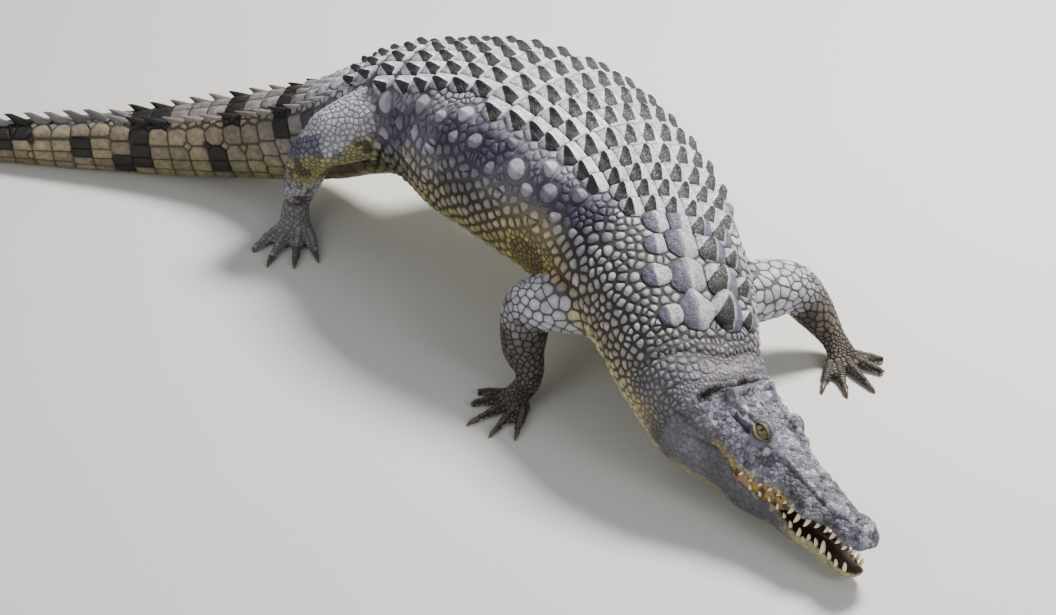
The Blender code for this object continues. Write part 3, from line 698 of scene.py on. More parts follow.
def markings_and_painted_light(p, where):
    """The hide's colour at each point, before the dark gaps between the scales: its markings, with painted
    shade and painted highlight where noted.
    """
    s, part, t = where["s"], where["part"], where["t"]
    angle, out, up = np.degrees(np.abs(where["angle"])), where["out"], where["up"]
    right = np.degrees(where["angle"])
    large, middle, small = noise(p, 0.11, 1), noise(p, 0.045, 2), noise(p, 0.014, 3)
    # the trunk: pale armour, a slate band of flank, tan and yellow towards the belly
    low = angle + 16 * (large - 0.5) + 8 * (middle - 0.5)
    c = mix(PALE, SLATE * 1.15, step(42, 58, low) * (0.75 + 0.25 * step(0.35, 0.7, middle)))
    c = mix(c, STONE * 0.9, step(72, 88, low))
    c = mix(c, TAN * 0.92, step(82, 100, low))
    c = mix(c, OLIVE, step(104, 126, low) * 0.8)
    c = mix(c, CREAM, step(140, 160, low))
    # behind the arm a patch of gold
    arm = armpit(s, angle)
    c = mix(c, GOLD, np.clip(arm * 1.3, 0, 1))
    # the neck: paler and greyer, cream beneath
    neck = step(0.86, 0.74, s)
    n = mix(STONE * 1.04, TAN * 1.02, step(75, 112, low))
    n = mix(n, CREAM * 0.9, step(106, 130, low))
    grey = mix(HEAD_BLUE * 0.95, STONE * 0.8, step(0.4, 0.7, middle))
    n = mix(n, grey, step(0.60, 0.50, s) * step(115, 95, low))
    n = mix(n, JAW_GREY, step(0.52, 0.44, s) * step(66, 84, low) * step(132, 118, low))
    c = mix(c, n, neck)
    # the tail: olive plates under black bars and blotches, the whole darkened, partly to a browner tone of its
    # own and partly as painted shade
    tail = step(1.66, 1.92, s)
    k = mix(STONE, mix(STONE, TAN, step(1.80, 2.15, s)), step(20, 55, low + 10))
    k = mix(k, OLIVE, step(70, 120, low) * 0.7)
    k = mix(k, EARTH, 0.5 * step(0.45, 0.65, middle))
    whorl = np.floor((s - PELVIS_END) / WHORL)
    tier = np.floor(angle / 38 + 0.5 * whorl)
    lot = hashed(whorl.astype(np.int64), tier.astype(np.int64), (right > 0).astype(np.int64), 77)
    bar = np.cos(whorl * 2 * np.pi / 4.0 + 1.2 + 1.5 * np.cos(whorl * 0.7))
    k = mix(k, BLACK, (bar > 0.72) * (lot > 0.35) * (angle < 75))
    k = mix(k, BLACK, (lot > 0.88) * (angle < 150))
    k = mix(k, CREAM * 0.85, step(140, 165, low))
    # painted shade, in part: the tail's colour darkened by 0.84
    c = mix(c, k * 0.84, tail)
    blotch = step(0.55, 0.68, noise(p, 0.070, 5)) * step(40, 62, angle) * step(140, 116, angle) * (1 - tail)
    c = mix(c, mix(SLATE * 0.8, BLACK * 2.2, step(80, 100, angle)), 0.70 * blotch * step(0.72, 0.9, s))
    # the legs
    for i in ALL_LEGS:
        mine = part == i
        if not mine.any():
            continue
        inner = -where["facing"][mine]
        if i in FORELEGS:
            a = mix(PALE * 0.82, EARTH * 0.72, step(2.7, 3.7, t[mine] + 0.8 * (large[mine] - 0.5)))
            a = mix(a, BLACK * 2.2, 0.6 * step(0.58, 0.7, noise(p[mine], 0.03, 6)) * step(2.5, 3.2, t[mine]))
            a = mix(a, CREAM * 0.9, step(0.45, 0.85, inner) * 0.7)
        else:
            a = mix(PALE * 0.76, SLATE * 1.05, 0.9 * step(0.48, 0.60, noise(p[mine], 0.08, 8)))
            a = mix(a, mix(YELLOW, OLIVE, step(0.40, 0.60, small[mine])), 0.85
                    * step(-0.22, 0.05, inner + 0.2 * (middle[mine] - 0.5)) * step(1.0, 1.6, t[mine])
                    * step(4.1, 3.4, t[mine]))
            a = mix(a, BLACK * 1.6, 0.8 * step(0.60, 0.68, noise(p[mine], 0.022, 7)) * step(-0.3, 0.0, inner))
            a = mix(a, EARTH * 0.9, step(3.9, 4.8, t[mine]) * 0.6)
        c[mine] = a
    # the head: blue grey above, mottled, with a cream jaw
    top, jaw = part == UPPER_HEAD, part == LOWER_JAW
    h = mix(HEAD_BLUE * 1.18, HEAD_DARK * 1.35, (0.85 - 0.35 * step(0.24, 0.12, s)) * step(0.42, 0.70, middle))
    h = mix(h, PALE * 0.88, 0.55 * step(0.55, 0.75, noise(p, 0.016, 21)))
    h = h * (1 - 0.45 * step(0.56, 0.70, noise(p, 0.0075, 24)))[:, None]
    h = mix(h, JAW_GREY, 0.8 * step(0.035, 0.012, up - where["lip"]) * step(0.26, 0.34, s))
    h = mix(h, HEAD_DARK, 0.55 * step(0.010, -0.004, up - where["lip"]))
    h = mix(h, rgb(164, 148, 70), 0.85 * step(0.020, 0.006, up - where["lip"])
            * step(0.15, 0.20, s) * step(0.37, 0.34, s) * step(0.3, 0.5, noise(p, 0.012, 23)))
    # painted shade: the nostril openings are painted black
    h = mix(h, BLACK, 0.9 * np.clip(1.6 * nostril(s, np.abs(out)), 0, 1) * step(0.3, 0.6, where["up"] / 0.03))
    c[top] = h[top]
    under = (where["lip"] - drop(s)) - up
    j = mix(JAW_GREY * 1.1, JAW_GREY * 0.75, step(0.45, 0.7, middle))
    j = mix(j, HEAD_BLUE, 0.5 * step(0.34, 0.40, s))
    deep = smooth(LOW_DEPTH, s)
    j = mix(j, mix(CREAM, OLIVE, 0.35) * 0.85, step(0.58, 0.84, (under + 0.02 * (large - 0.5)) / deep) * 0.9)
    j = mix(j, CREAM * 0.95, 0.8 * step(0.012, 0.003, under) * step(0.32, 0.22, s))
    j = mix(j, CREAM * 0.82, 0.85 * step(0.20, 0.10, s + 0.05 * (middle - 0.5)))
    c[jaw] = j[jaw]
    half = np.where(up > where["lip"] - drop(s) / 2, smooth(JAW_HALF, s), smooth(LOW_HALF, s))
    rear = step(0.16, 0.24, s)
    gum = step(0.012 + 0.016 * rear, 0.005 + 0.010 * rear, half - np.abs(out))
    # painted shade: the inside of the mouth is dark brown at the front and lighter towards the rear, for the
    # shade within the gape, with lighter gums along its edges
    m = mix(rgb(58, 38, 32), rgb(96, 76, 48), rear)
    m = mix(m, mix(rgb(176, 160, 104), rgb(170, 124, 98), step(0.4, 0.7, small)), gum * (0.6 + 0.3 * rear))
    c[part == IN_MOUTH] = m[part == IN_MOUTH]
    # painted shade in the nape fold, and painted highlight and shade on the relief of the head and nape:
    # lighter on its ridges and bumps, darker in its grooves and folds
    fold_shade = nape_fold(p, s, np.abs(out)) * (s < 0.5)
    relief_light_and_shade = np.zeros(len(p))
    near = s < 0.60
    relief_light_and_shade[near] = relief(p[near], {k: v[near] for k, v in where.items()})
    relief_light_and_shade = 1 + np.clip(75 * relief_light_and_shade, -0.55, 0.16) * (part != IN_MOUTH)
    return c * ((0.86 + 0.28 * small) * (1 - 0.7 * fold_shade) * relief_light_and_shade)[:, None]


def gaps(where):
    """How much of its colour the skin keeps between the scales: little on the back, more below."""
    angle = np.degrees(np.abs(where["angle"]))
    keep = 0.14 + 0.30 * step(110, 150, angle)
    trunk = step(0.84, 0.92, where["s"]) * step(1.72, 1.62, where["s"])
    keep = keep + 0.42 * trunk * step(40, 50, angle) * step(98, 84, angle)
    keep = keep + 0.46 * step(0.60, 0.46, where["s"]) + 0.30 * armpit(where["s"], angle)
    keep = keep + 0.18 * step(1.66, 1.80, where["s"])
    keep = np.where(np.isin(where["part"], FORELEGS), 0.22, keep)
    keep = np.where(np.isin(where["part"], HINDLEGS), 0.60, keep)
    keep = np.where(where["part"] == UPPER_HEAD, 0.80, np.where(where["part"] == LOWER_JAW, 0.86, keep))
    return np.where(where["part"] == IN_MOUTH, 1.0, keep)


def billow(p, size, seed):
    """Rounded lumps with creases between, from 0 to 1."""
    return 1 - np.abs(2 * noise(p, size, seed) - 1)


TABLE_EDGE = [(0.33, 0.040), (0.36, 0.046), (0.39, 0.052), (0.415, 0.054), (0.44, 0.052)]
# on the skull table: how high, then the place and width back from the snout, and the same outwards
TABLE_BUMPS = ((0.0050, 0.420, 0.011, 0.082, 0.010), (0.0045, 0.376, 0.009, 0.026, 0.010),
               (0.0040, 0.352, 0.006, 0.020, 0.008))
# across the nape: the station of each fold, how deep and how wide
NAPE_FOLDS = ((0.462, 0.0030, 0.004), (0.522, 0.0055, 0.006), (0.545, 0.0035, 0.005), (0.568, 0.0030, 0.004))
NOSTRIL_AT = (0.046, 0.0105)  # back from the snout tip and out from the middle
CANTHUS = [(0.03, 0.015), (0.06, 0.020), (0.10, 0.026), (0.15, 0.030), (0.20, 0.034), (0.27, 0.044)]


def hump(x, wide):
    return np.exp(-((x / wide) ** 2))


def nape_fold(p, u, v):
    """The deep fold between the skull table and the neck."""
    return hump(u - 0.4430 - 0.014 * (noise(p, 0.06, 51) - 0.5), 0.0075) * step(0.115, 0.090, v)


def nostril(u, v):
    return hump(u - NOSTRIL_AT[0] + 26 * (v - NOSTRIL_AT[1]) ** 2, 0.0034) * hump(v - NOSTRIL_AT[1], 0.0075)


def relief(p, w):
    """How far the bony lumps, ridges and folds of the head and the nape stand off the plain skin."""
    u, v, part = w["s"], np.abs(w["out"]), w["part"]
    lip = w["lip"]
    top = smooth(HEAD_TOP, u)
    crown = step(0.20, 0.60, (w["up"] - lip) / (top - lip)) * np.isin(part, (BODY, UPPER_HEAD))
    upper, jaw = part == UPPER_HEAD, part == LOWER_JAW
    # the skull table: a raised rim, two dished lobes, the ear slit below and the fold behind
    edge = smooth(TABLE_EDGE, u)
    table = step(0.330, 0.345, u) * step(0.424, 0.410, u)
    h = 0.0085 * hump(v - edge, 0.0055) * table
    h += 0.0080 * hump(u - 0.407, 0.006) * step(0.004, -0.004, v - edge)
    h += (0.0036 * hump(v, 0.0090) - 0.0050 * hump(v, 0.0022)) * table
    h -= 0.0030 * hump(v - edge / 2, edge / 3.5) * table
    slit = step(0.316, 0.326, u) * step(0.385, 0.365, u)
    h += (0.0040 * hump(v - edge - 0.0125, 0.0034) - 0.0075 * hump(v - edge - 0.0190, 0.0030)) * slit
    for high, at_u, wide_u, at_v, wide_v in TABLE_BUMPS:
        h += high * hump(u - at_u, wide_u) * hump(v - at_v, wide_v)
    h -= 0.0130 * nape_fold(p, u, v)
    # the ridge from the eye to the nostril with its groove, and the knob in front of the eye
    line = smooth(CANTHUS, u)
    run = step(0.05, 0.08, u) * step(0.272, 0.255, u)
    wave = 0.004 * (noise(p, 0.03, 52) - 0.5)
    h -= 0.0034 * hump(v - line - 0.0045 + wave, 0.0032) * run * upper
    h += 0.0028 * hump(v - line + 0.0035 + wave, 0.0050) * run * upper
    h += 0.0060 * hump(u - 0.262, 0.010) * hump(v - 0.044, 0.0075)
    h += 0.0080 * hump(v - 0.040, 0.019) * step(0.248, 0.278, u) * step(0.356, 0.336, u)
    h += 0.0030 * hump(v, 0.010) * hump(u - 0.225, 0.05) * upper
    # the nostrils on their raised disc
    h += 0.0030 * hump(np.hypot(u - 0.040, v) - 0.024, 0.0045) * upper
    h += 0.0030 * hump(u - NOSTRIL_AT[0], 0.011) * hump(v - NOSTRIL_AT[1], 0.0105) - 0.0090 * nostril(u, v)
    h = h * crown
    # rugose bone: lumps along the side of the snout, wrinkles over all of it
    side = step(0.0, 0.010, v - line) * step(0.03, 0.07, u) * step(0.30, 0.24, u) * upper
    h += 0.0050 * side * (noise(p, 0.0150, 53) - 0.55) + 0.0022 * upper * (billow(p, 0.0135, 53) - 0.62)
    h += (0.0016 * upper + 0.0004 * jaw) * (billow(p, 0.0062, 54) - 0.6)
    # the cheek and the folds behind the mouth
    h += 0.0050 * hump(u - 0.405, 0.035) * hump(w["up"] - lip + 0.045, 0.030)
    h -= 0.0035 * hump(w["up"] - lip + 0.25 * (u - 0.34), 0.0035) * step(0.335, 0.35, u) * step(0.45, 0.40, u)
    # folds across the nape
    nape = step(100, 70, np.degrees(np.abs(w["angle"]))) * (part == BODY)
    for at, deep, wide in NAPE_FOLDS:
        bend = 0.022 * (noise(p, 0.08, 55) - 0.5) + 0.012 * (v / 0.1) ** 2
        h -= deep * hump(u - at - bend, wide) * nape
    return h


def skin_points():
    mesh = remeshed(*flesh(), VOXEL)
    points, edges, _ = mesh_arrays(mesh)
    points = relax(points, edges, np.ones(len(points)), 3)
    s, _, _ = locate(points)
    # the head gets four times the faces
    set_points(mesh, points)
    bm = bmesh.new()
    bm.from_mesh(mesh)
    for end in (SKULL + 0.08, SKULL + 0.02):
        chosen = [e for e in bm.edges if s[e.verts[0].index] < end and s[e.verts[1].index] < end]
        bmesh.ops.subdivide_edges(bm, edges=chosen, cuts=1, use_grid_fill=True)
        bmesh.ops.triangulate(bm, faces=[f for f in bm.faces if len(f.verts) > 4])
        bm.verts.index_update()
        s = locate(np.array([v.co[:] for v in bm.verts]))[0]
    bm.to_mesh(mesh)
    bm.free()
    points, edges, _ = mesh_arrays(mesh)
    s, out, up = locate(points)
    points = relax(points, edges, (s < SKULL + 0.12).astype(float), 4)
    # the roots of the legs run into the body without a crease
    rho = body_angle(s, out, up)[1]
    joint = np.exp(-(((rho - 1.06) / 0.10) ** 2)) * (s > 0.5)
    close = np.zeros(len(points))
    for leg in LEGS:
        _, _, ratio, _ = leg_locate(leg, points)
        close = np.maximum(close, step(1.9, 1.2, ratio))
    points = relax(points, edges, np.clip(joint * close, 0, 1), 14)
    set_points(mesh, points)
    mesh.update()
    _, _, normals = mesh_arrays(mesh)
    near = np.flatnonzero(s < 0.64)
    points[near] += relief(points[near], regions(points[near], normals[near]))[:, None] * normals[near]
    points = set_eyes(points, edges)
    points[:, 2] = np.maximum(points[:, 2], 0.0004)
    set_points(mesh, points)
    mesh.update()
    return mesh


# ---- materials ----------------------------------------------------------------------------------------
def feed(tree, slot, value):
    """Sets an input, or links it where the value is another node's output."""
    if isinstance(value, bpy.types.NodeSocket):
        tree.links.new(value, slot)
    else:
        slot.default_value = value


def node(tree, kind, *slots, **values):
    """A shader node. Slots feed its inputs in turn, values feed them by name, and a _ marks a setting."""
    made = tree.nodes.new("ShaderNode" + kind)
    for key in [k for k in values if k.startswith("_")]:
        setattr(made, key[1:], values.pop(key))
    for slot, value in zip(made.inputs, slots):
        feed(tree, slot, value)
    for key, value in values.items():
        feed(tree, made.inputs[key.replace("_", " ")], value)
    return made


def new_material(name):
    """A material, its tree, its shader and the place on the object."""
    m = bpy.data.materials.new(name)
    m.use_nodes = True
    tree = m.node_tree
    return m, tree, tree.nodes["Principled BSDF"].inputs, node(tree, "TexCoord").outputs["Object"]


def hide_material(name, rough, grain, crease, depth, mottle):
    """Painted hide: the points' own colour, broken up by fine grain and creases, with a bump of both."""
    m, tree, shader, at = new_material(name)
    paint = node(tree, "VertexColor", _layer_name="paint").outputs

    def ranged(*slots):
        return node(tree, "MapRange", *slots).outputs["Result"]

    def sums(operation, *slots):
        return node(tree, "Math", *slots, _operation=operation).outputs["Value"]

    fine = node(tree, "TexNoise", Vector=at, Scale=grain, Detail=6.0, Roughness=0.62).outputs["Fac"]
    warp = node(tree, "TexNoise", Vector=at, Scale=crease * 0.6, Detail=2.0).outputs["Color"]
    warped = node(tree, "MixRGB", 0.45 / crease, at, warp, _blend_type="LINEAR_LIGHT").outputs["Color"]
    crack = node(tree, "TexVoronoi", _feature="DISTANCE_TO_EDGE", Vector=warped, Scale=crease)
    edge = ranged(crack.outputs["Distance"], 0.0, 0.09, 0.0, 1.0)
    grey = sums("MULTIPLY", ranged(fine, 0.3, 0.7, 1 - mottle, 1 + mottle), ranged(edge, 0.0, 1.0, 0.78, 1.0))
    # the black keel marks carried in the paint's alpha: partly dark blotches of the hide, partly painted shade
    # beside each keel
    keel_blotch_and_shade_black = ranged(sums("MULTIPLY_ADD", fine, 0.22, paint["Alpha"]), 0.57, 0.65, 1.0, 0.06)
    shaded = node(tree, "VectorMath", paint["Color"], _operation="SCALE", Scale=sums("MULTIPLY", grey, keel_blotch_and_shade_black))
    feed(tree, shader["Base Color"], shaded.outputs["Vector"])
    feed(tree, shader["Roughness"], ranged(fine, 0.3, 0.7, rough - 0.10, rough + 0.12))
    bump = node(tree, "Bump", Strength=0.55, Distance=depth, Height=sums("ADD", fine, edge))
    feed(tree, shader["Normal"], bump.outputs["Normal"])
    shader["Specular IOR Level"].default_value = 0.34
    return m


def plain_material(name, color, rough, coat=0.0, bump=0.0, grain=300.0, painted=False, streak=None):
    """A smooth hard material with a little colour and height variation."""
    m, tree, shader, at = new_material(name)
    grainy = node(tree, "TexNoise", Vector=at, Scale=grain, Detail=4.0).outputs["Fac"]
    if painted:
        tone = node(tree, "VertexColor", _layer_name="paint")
    else:
        tone = node(tree, "MixRGB", grainy, (*color, 1), (*(color if streak is None else streak), 1))
    feed(tree, shader["Base Color"], tone.outputs["Color"])
    shader["Roughness"].default_value = rough
    shader["Coat Weight"].default_value = coat
    shader["Coat Roughness"].default_value = 0.03
    if bump:
        lift = node(tree, "Bump", Strength=0.4, Distance=bump, Height=grainy)
        feed(tree, shader["Normal"], lift.outputs["Normal"])
    return m


# ---- the scales ---------------------------------------------------------------------------------------
class Seeds:
    """The roots of the scales, as columns that grow together."""

    FIELDS = ("p", "n", "a", "size", "dome", "edge", "keel", "gap", "sharp", "mark", "tone", "group")

    def __init__(self):
        self.rows = {f: [] for f in self.FIELDS}

    def add(self, p, n, a, **kinds):
        count = len(p)
        if not count:
            return
        values = dict(dict(keel=0.0, mark=0.0, tone=0.0), p=p, n=n, a=a, **kinds)
        for f in self.FIELDS:
            v = np.asarray(values[f], float)
            if f in ("p", "n", "a"):
                self.rows[f].append(v.reshape(count, 3))
            else:
                self.rows[f].append(np.broadcast_to(v, (count,)).copy())

    def all(self):
        return {f: np.concatenate(v) for f, v in self.rows.items()}


def point_tree(points):
    tree = KDTree(len(points))
    for i, q in enumerate(points):
        tree.insert(Vector(q), i)
    tree.balance()
    return tree


def nearest(tree, points):
    """The number of the tree's point that is nearest to each of these."""
    return np.fromiter((tree.find(Vector(q))[1] for q in points), int, len(points))


def on_skin(tree, p):
    """The nearest points of the skin, their normals and how far away they were."""
    found, normal, away = np.empty_like(p), np.empty_like(p), np.empty(len(p))
    for i, q in enumerate(p):
        a, b, _, d = tree.find_nearest(Vector(q))
        found[i], normal[i], away[i] = a, b, d
    return found, normal, away


CELL_AREA = 3.25  # what an irregular scale takes up, against the square of its half width
SPOTS_EACH = 11  # loose spots strewn for each scale before they are evened out
EVENING_ROUNDS = 7
GROUPS = ("back", "flank", "belly", "neck", "tail", "leg", "foot", "head", "jaw")


def row_arcs(s):
    """The distance round the flesh from the top, and a way back from it to the angle."""
    a = np.linspace(0, np.pi, 121)
    ring = body_surface(np.full(121, s), a)
    arc = np.concatenate([[0], np.cumsum(np.linalg.norm(np.diff(ring, axis=0), axis=1))])
    return a, arc


def grid_rows(stations, columns, jitter=0.0):
    """Points on the flesh in rows across it. columns(s, i, arc end) gives distances from the top."""
    p, s_all, arc_all = [], [], []
    for i, s in enumerate(stations):
        a, arc = row_arcs(s)
        for side in (-1, 1):
            x = np.asarray(columns(s, i, arc[-1], a, arc), float)
            if not len(x):
                continue
            x = x + jitter * RNG.uniform(-1, 1, len(x))
            s_here = s + jitter * RNG.uniform(-1, 1, len(x))
            p.append(body_surface(s_here, side * np.interp(x, arc, a)))
            s_all.append(s_here)
            arc_all.append(x * side)
    return np.concatenate(p), np.concatenate(s_all), np.concatenate(arc_all)


def row_distance(s, angle):
    """How far points of the body lie from the midline along its surface."""
    away = np.empty(len(s))
    for i, (at, turn) in enumerate(zip(s, np.abs(angle))):
        around = body_surface(np.full(13, at), np.linspace(0, turn, 13))
        away[i] = np.linalg.norm(np.diff(around, axis=0), axis=1).sum()
    return away


ROW = 0.0535  # one transverse row of back scutes
BACK_ROWS = np.arange(0.838, PELVIS_END - 0.01, ROW)


def scute_width(s):
    return np.interp(s, [0.80, 0.95, 1.10, 1.35, 1.55, 1.72], [0.046, 0.050, 0.053, 0.053, 0.045, 0.036])


def back_edge(s):
    """How far from the midline the row of back scutes ends."""
    return scute_width(s) * np.interp(s, [0.80, 0.86, 0.96, 1.22, 1.34, 1.56, 1.72], [2, 3, 4, 4, 3, 3, 2])


# the shield of the neck and the small scutes behind the skull: station, out, half width, keel
NECK_SCUTES = ((0.602, 0.040, 0.040, 0.007), (0.600, 0.100, 0.022, 0.005), (0.672, 0.042, 0.042, 0.008),
               (0.676, 0.110, 0.026, 0.006), (0.738, 0.037, 0.036, 0.008), (0.736, 0.094, 0.024, 0.006),
               (0.792, 0.026, 0.027, 0.008), (0.792, 0.078, 0.027, 0.008), (0.484, 0.017, 0.016, 0.004),
               (0.498, 0.053, 0.018, 0.006), (0.489, 0.088, 0.010, 0.003))


def set_rows(seeds, tree):
    def put(p, s, limit, group, **kinds):
        q, n, away = on_skin(tree, p)
        ok = away < limit
        along = -frame_at(s)[1]
        kinds = {k: (np.asarray(v)[ok] if np.ndim(v) else v) for k, v in kinds.items()}
        seeds.add(q[ok], n[ok], along[ok], group=GROUPS.index(group), **kinds)

    # back armour
    def back(s, i, end, a, arc):
        count = int(round(back_edge(s) / scute_width(s)))
        return (np.arange(count) + 0.5) * scute_width(s)

    p, s, arc = grid_rows(BACK_ROWS, back)
    k = np.abs(arc) / scute_width(s)
    put(p, s, 0.012, "back", size=scute_width(s) * 0.5, dome=0.0040, edge=0.0030,
        keel=0.0105 + 0.002 * (k < 3), gap=0.0016, sharp=40.0, mark=1.0, tone=0.35)
    # the shield of the neck
    for station, x, size, keel in NECK_SCUTES:
        a, arc = row_arcs(station)
        for side in (-1, 1):
            at = body_surface(station, side * np.interp(x, arc, a))
            if station < 0.55:
                look = dict(dome=size * 0.06, edge=0.0016, sharp=9.0)
            else:
                # only the left half of the shield gets the black keel marks, partly painted shade beside each
                # keel
                look = dict(dome=size * 0.25, edge=0.0034, sharp=22.0, tone=0.35,
                            mark=1.0 if side > 0 else 0.01)
            put(at, np.array([station]), 0.02, "back", size=size, keel=keel, gap=0.0022, **look)

    # flank: raised lumps high up, upright ovals lower down
    def lumps(s, i, end, a, arc):
        x0 = back_edge(s) + 0.036
        return x0 + (0.5 * (i % 2)) * 0.064 + np.arange(0, 3 if s > 1.25 else 2) * 0.064

    p, s, arc = grid_rows(np.arange(0.93, 1.62, 0.064), lumps, 0.009)
    grow = RNG.uniform(0.55, 1.12, len(p))
    put(p, s, 0.010, "flank", size=0.0255 * grow, dome=0.0090 * grow, edge=0.002, keel=0.0050, gap=0.004,
        sharp=4.5, tone=0.14)

    def ovals(s, i, end, a, arc):
        x0 = back_edge(s) + 0.128 + 0.016 * (i % 2)
        x1 = np.interp(np.radians(138), a, arc)
        x = np.arange(x0, x1, 0.033)
        return x[armpit(s, np.degrees(np.interp(x, arc, a))) < 0.45]

    p, s, arc = grid_rows(np.arange(0.80, 1.70, 0.0235), ovals, 0.0038)
    put(p, s, 0.009, "flank", size=0.0128 * RNG.uniform(0.85, 1.12, len(p)), dome=0.0050, edge=0.0016,
        gap=0.0050, sharp=5.0, tone=0.10)

    def belly(s, i, end, a, arc):
        x0 = np.interp(np.radians(138), a, arc) + 0.012
        return np.arange(x0, end - 0.010, (end - x0) / max(int((end - x0) / 0.036), 1))

    p, s, arc = grid_rows(np.arange(0.80, 1.70, 0.042), belly)
    put(p, s, 0.009, "belly", size=0.019, dome=0.0022, edge=0.0016, gap=0.003, sharp=20.0)

    # tail: whorls of plates, those on top keeled
    whorls = int((TAIL_TIP - 0.03 - PELVIS_END) / WHORL)
    stations = PELVIS_END + (np.arange(whorls) + 0.5) * WHORL

    def plates(s, i, end, a, arc):
        top = np.interp(np.radians(float(smooth(CREST_SPREAD, s))), a, arc)
        first = top + 0.62 * np.interp(s, [1.72, 2.4, 3.2], [0.034, 0.024, 0.010])
        low = np.interp(np.radians(146), a, arc)
        tall = min(np.interp(s, [1.72, 2.0, 3.2], [0.044, 0.062, 0.018]), 0.55 * (low - first))
        room = low - first - tall
        count = max(int(round(room / np.interp(s, [1.72, 2.3, 3.2], [0.036, 0.030, 0.012]))), 1)
        side = np.concatenate([[first + tall / 2], first + tall + (np.arange(count) + 0.5) * room / count])
        under = low + (np.arange(2) + 0.5) * (end - low) / 2
        many = max(int(top / 0.030), 1)
        inner = [] if top < 0.016 else list((np.arange(many) + 0.5) * top * 0.72 / many)
        return np.concatenate([inner, side, under])

    p, s, arc = grid_rows(stations, plates)
    high = np.array([abs(x) / row_arcs(t)[1][-1] for x, t in zip(arc, s)])
    put(p, s, 0.012, "tail", size=np.interp(s, [1.72, 2.4, 3.2], [0.023, 0.023, 0.008]), dome=0.0030,
        edge=0.0022, keel=0.007 * step(0.38, 0.12, high) * step(2.5, 2.0, s), gap=0.0014, sharp=40.0)


def set_toes(seeds, tree):
    """Scutes across the top of each toe."""
    for leg in LEGS:
        for path, _ in digits_of(leg):
            t = np.arange(0.55, 1.95, 0.115)
            c = course(path, t) + [0, 0, leg["toe"]]
            q, n, _ = on_skin(tree, c)
            d = unit(course(path, t + 0.03) - course(path, t - 0.03))
            seeds.add(q, n, d, size=0.0062, dome=0.0018, edge=0.0010, gap=0.0016, sharp=16.0, tone=0.12,
                      group=GROUPS.index("foot"))


def target_size(p, w):
    """The half width wanted of an irregular scale at each point."""
    s, part, t = w["s"], w["part"], w["t"]
    angle = np.degrees(np.abs(w["angle"]))
    r = np.interp(s, [0.44, 0.50, 0.58, 0.72, 0.84], [0.0058, 0.0070, 0.0115, 0.0130, 0.0120])
    r = r * np.interp(angle, [0, 60, 90], [0.80, 1.0, 1.0])
    r = r * (0.85 + 0.3 * noise(p, 0.05, 31))
    r = np.where((s > SHOULDER) & (s < RUMP), 0.0092, r)
    r = np.where(armpit(s, angle) > 0.45, 0.0064, r)
    r = np.where(s > RUMP, 0.0085, r)
    r = np.where(np.isin(part, FORELEGS), np.interp(t, [0, 2.2, 3.0, 4.6, 5.2, 6],
                                                  [0.0140, 0.0140, 0.0092, 0.0070, 0.0050, 0.0046]), r)
    r = np.where(np.isin(part, HINDLEGS), np.interp(t, [0, 2.2, 3.0, 4.6, 5.2, 6],
                                                  [0.0074, 0.0070, 0.0068, 0.0064, 0.0054, 0.0048]), r)
    sole = np.isin(part, ALL_LEGS) & (t > 4.9) & (p[:, 2] < 0.008)
    r = np.where(sole, 0.0075, r)
    head = np.interp(s, [0, 0.10, 0.22, 0.34, 0.45], [0.0040, 0.0044, 0.0056, 0.0070, 0.0066])
    r = np.where(part == UPPER_HEAD, head * (0.8 + 0.4 * noise(p, 0.02, 33)), r)
    jaw = np.interp(s, [0, 0.10, 0.22, 0.34, 0.42], [0.0046, 0.0056, 0.0074, 0.0076, 0.0062])
    return np.where(part == LOWER_JAW, jaw, r)


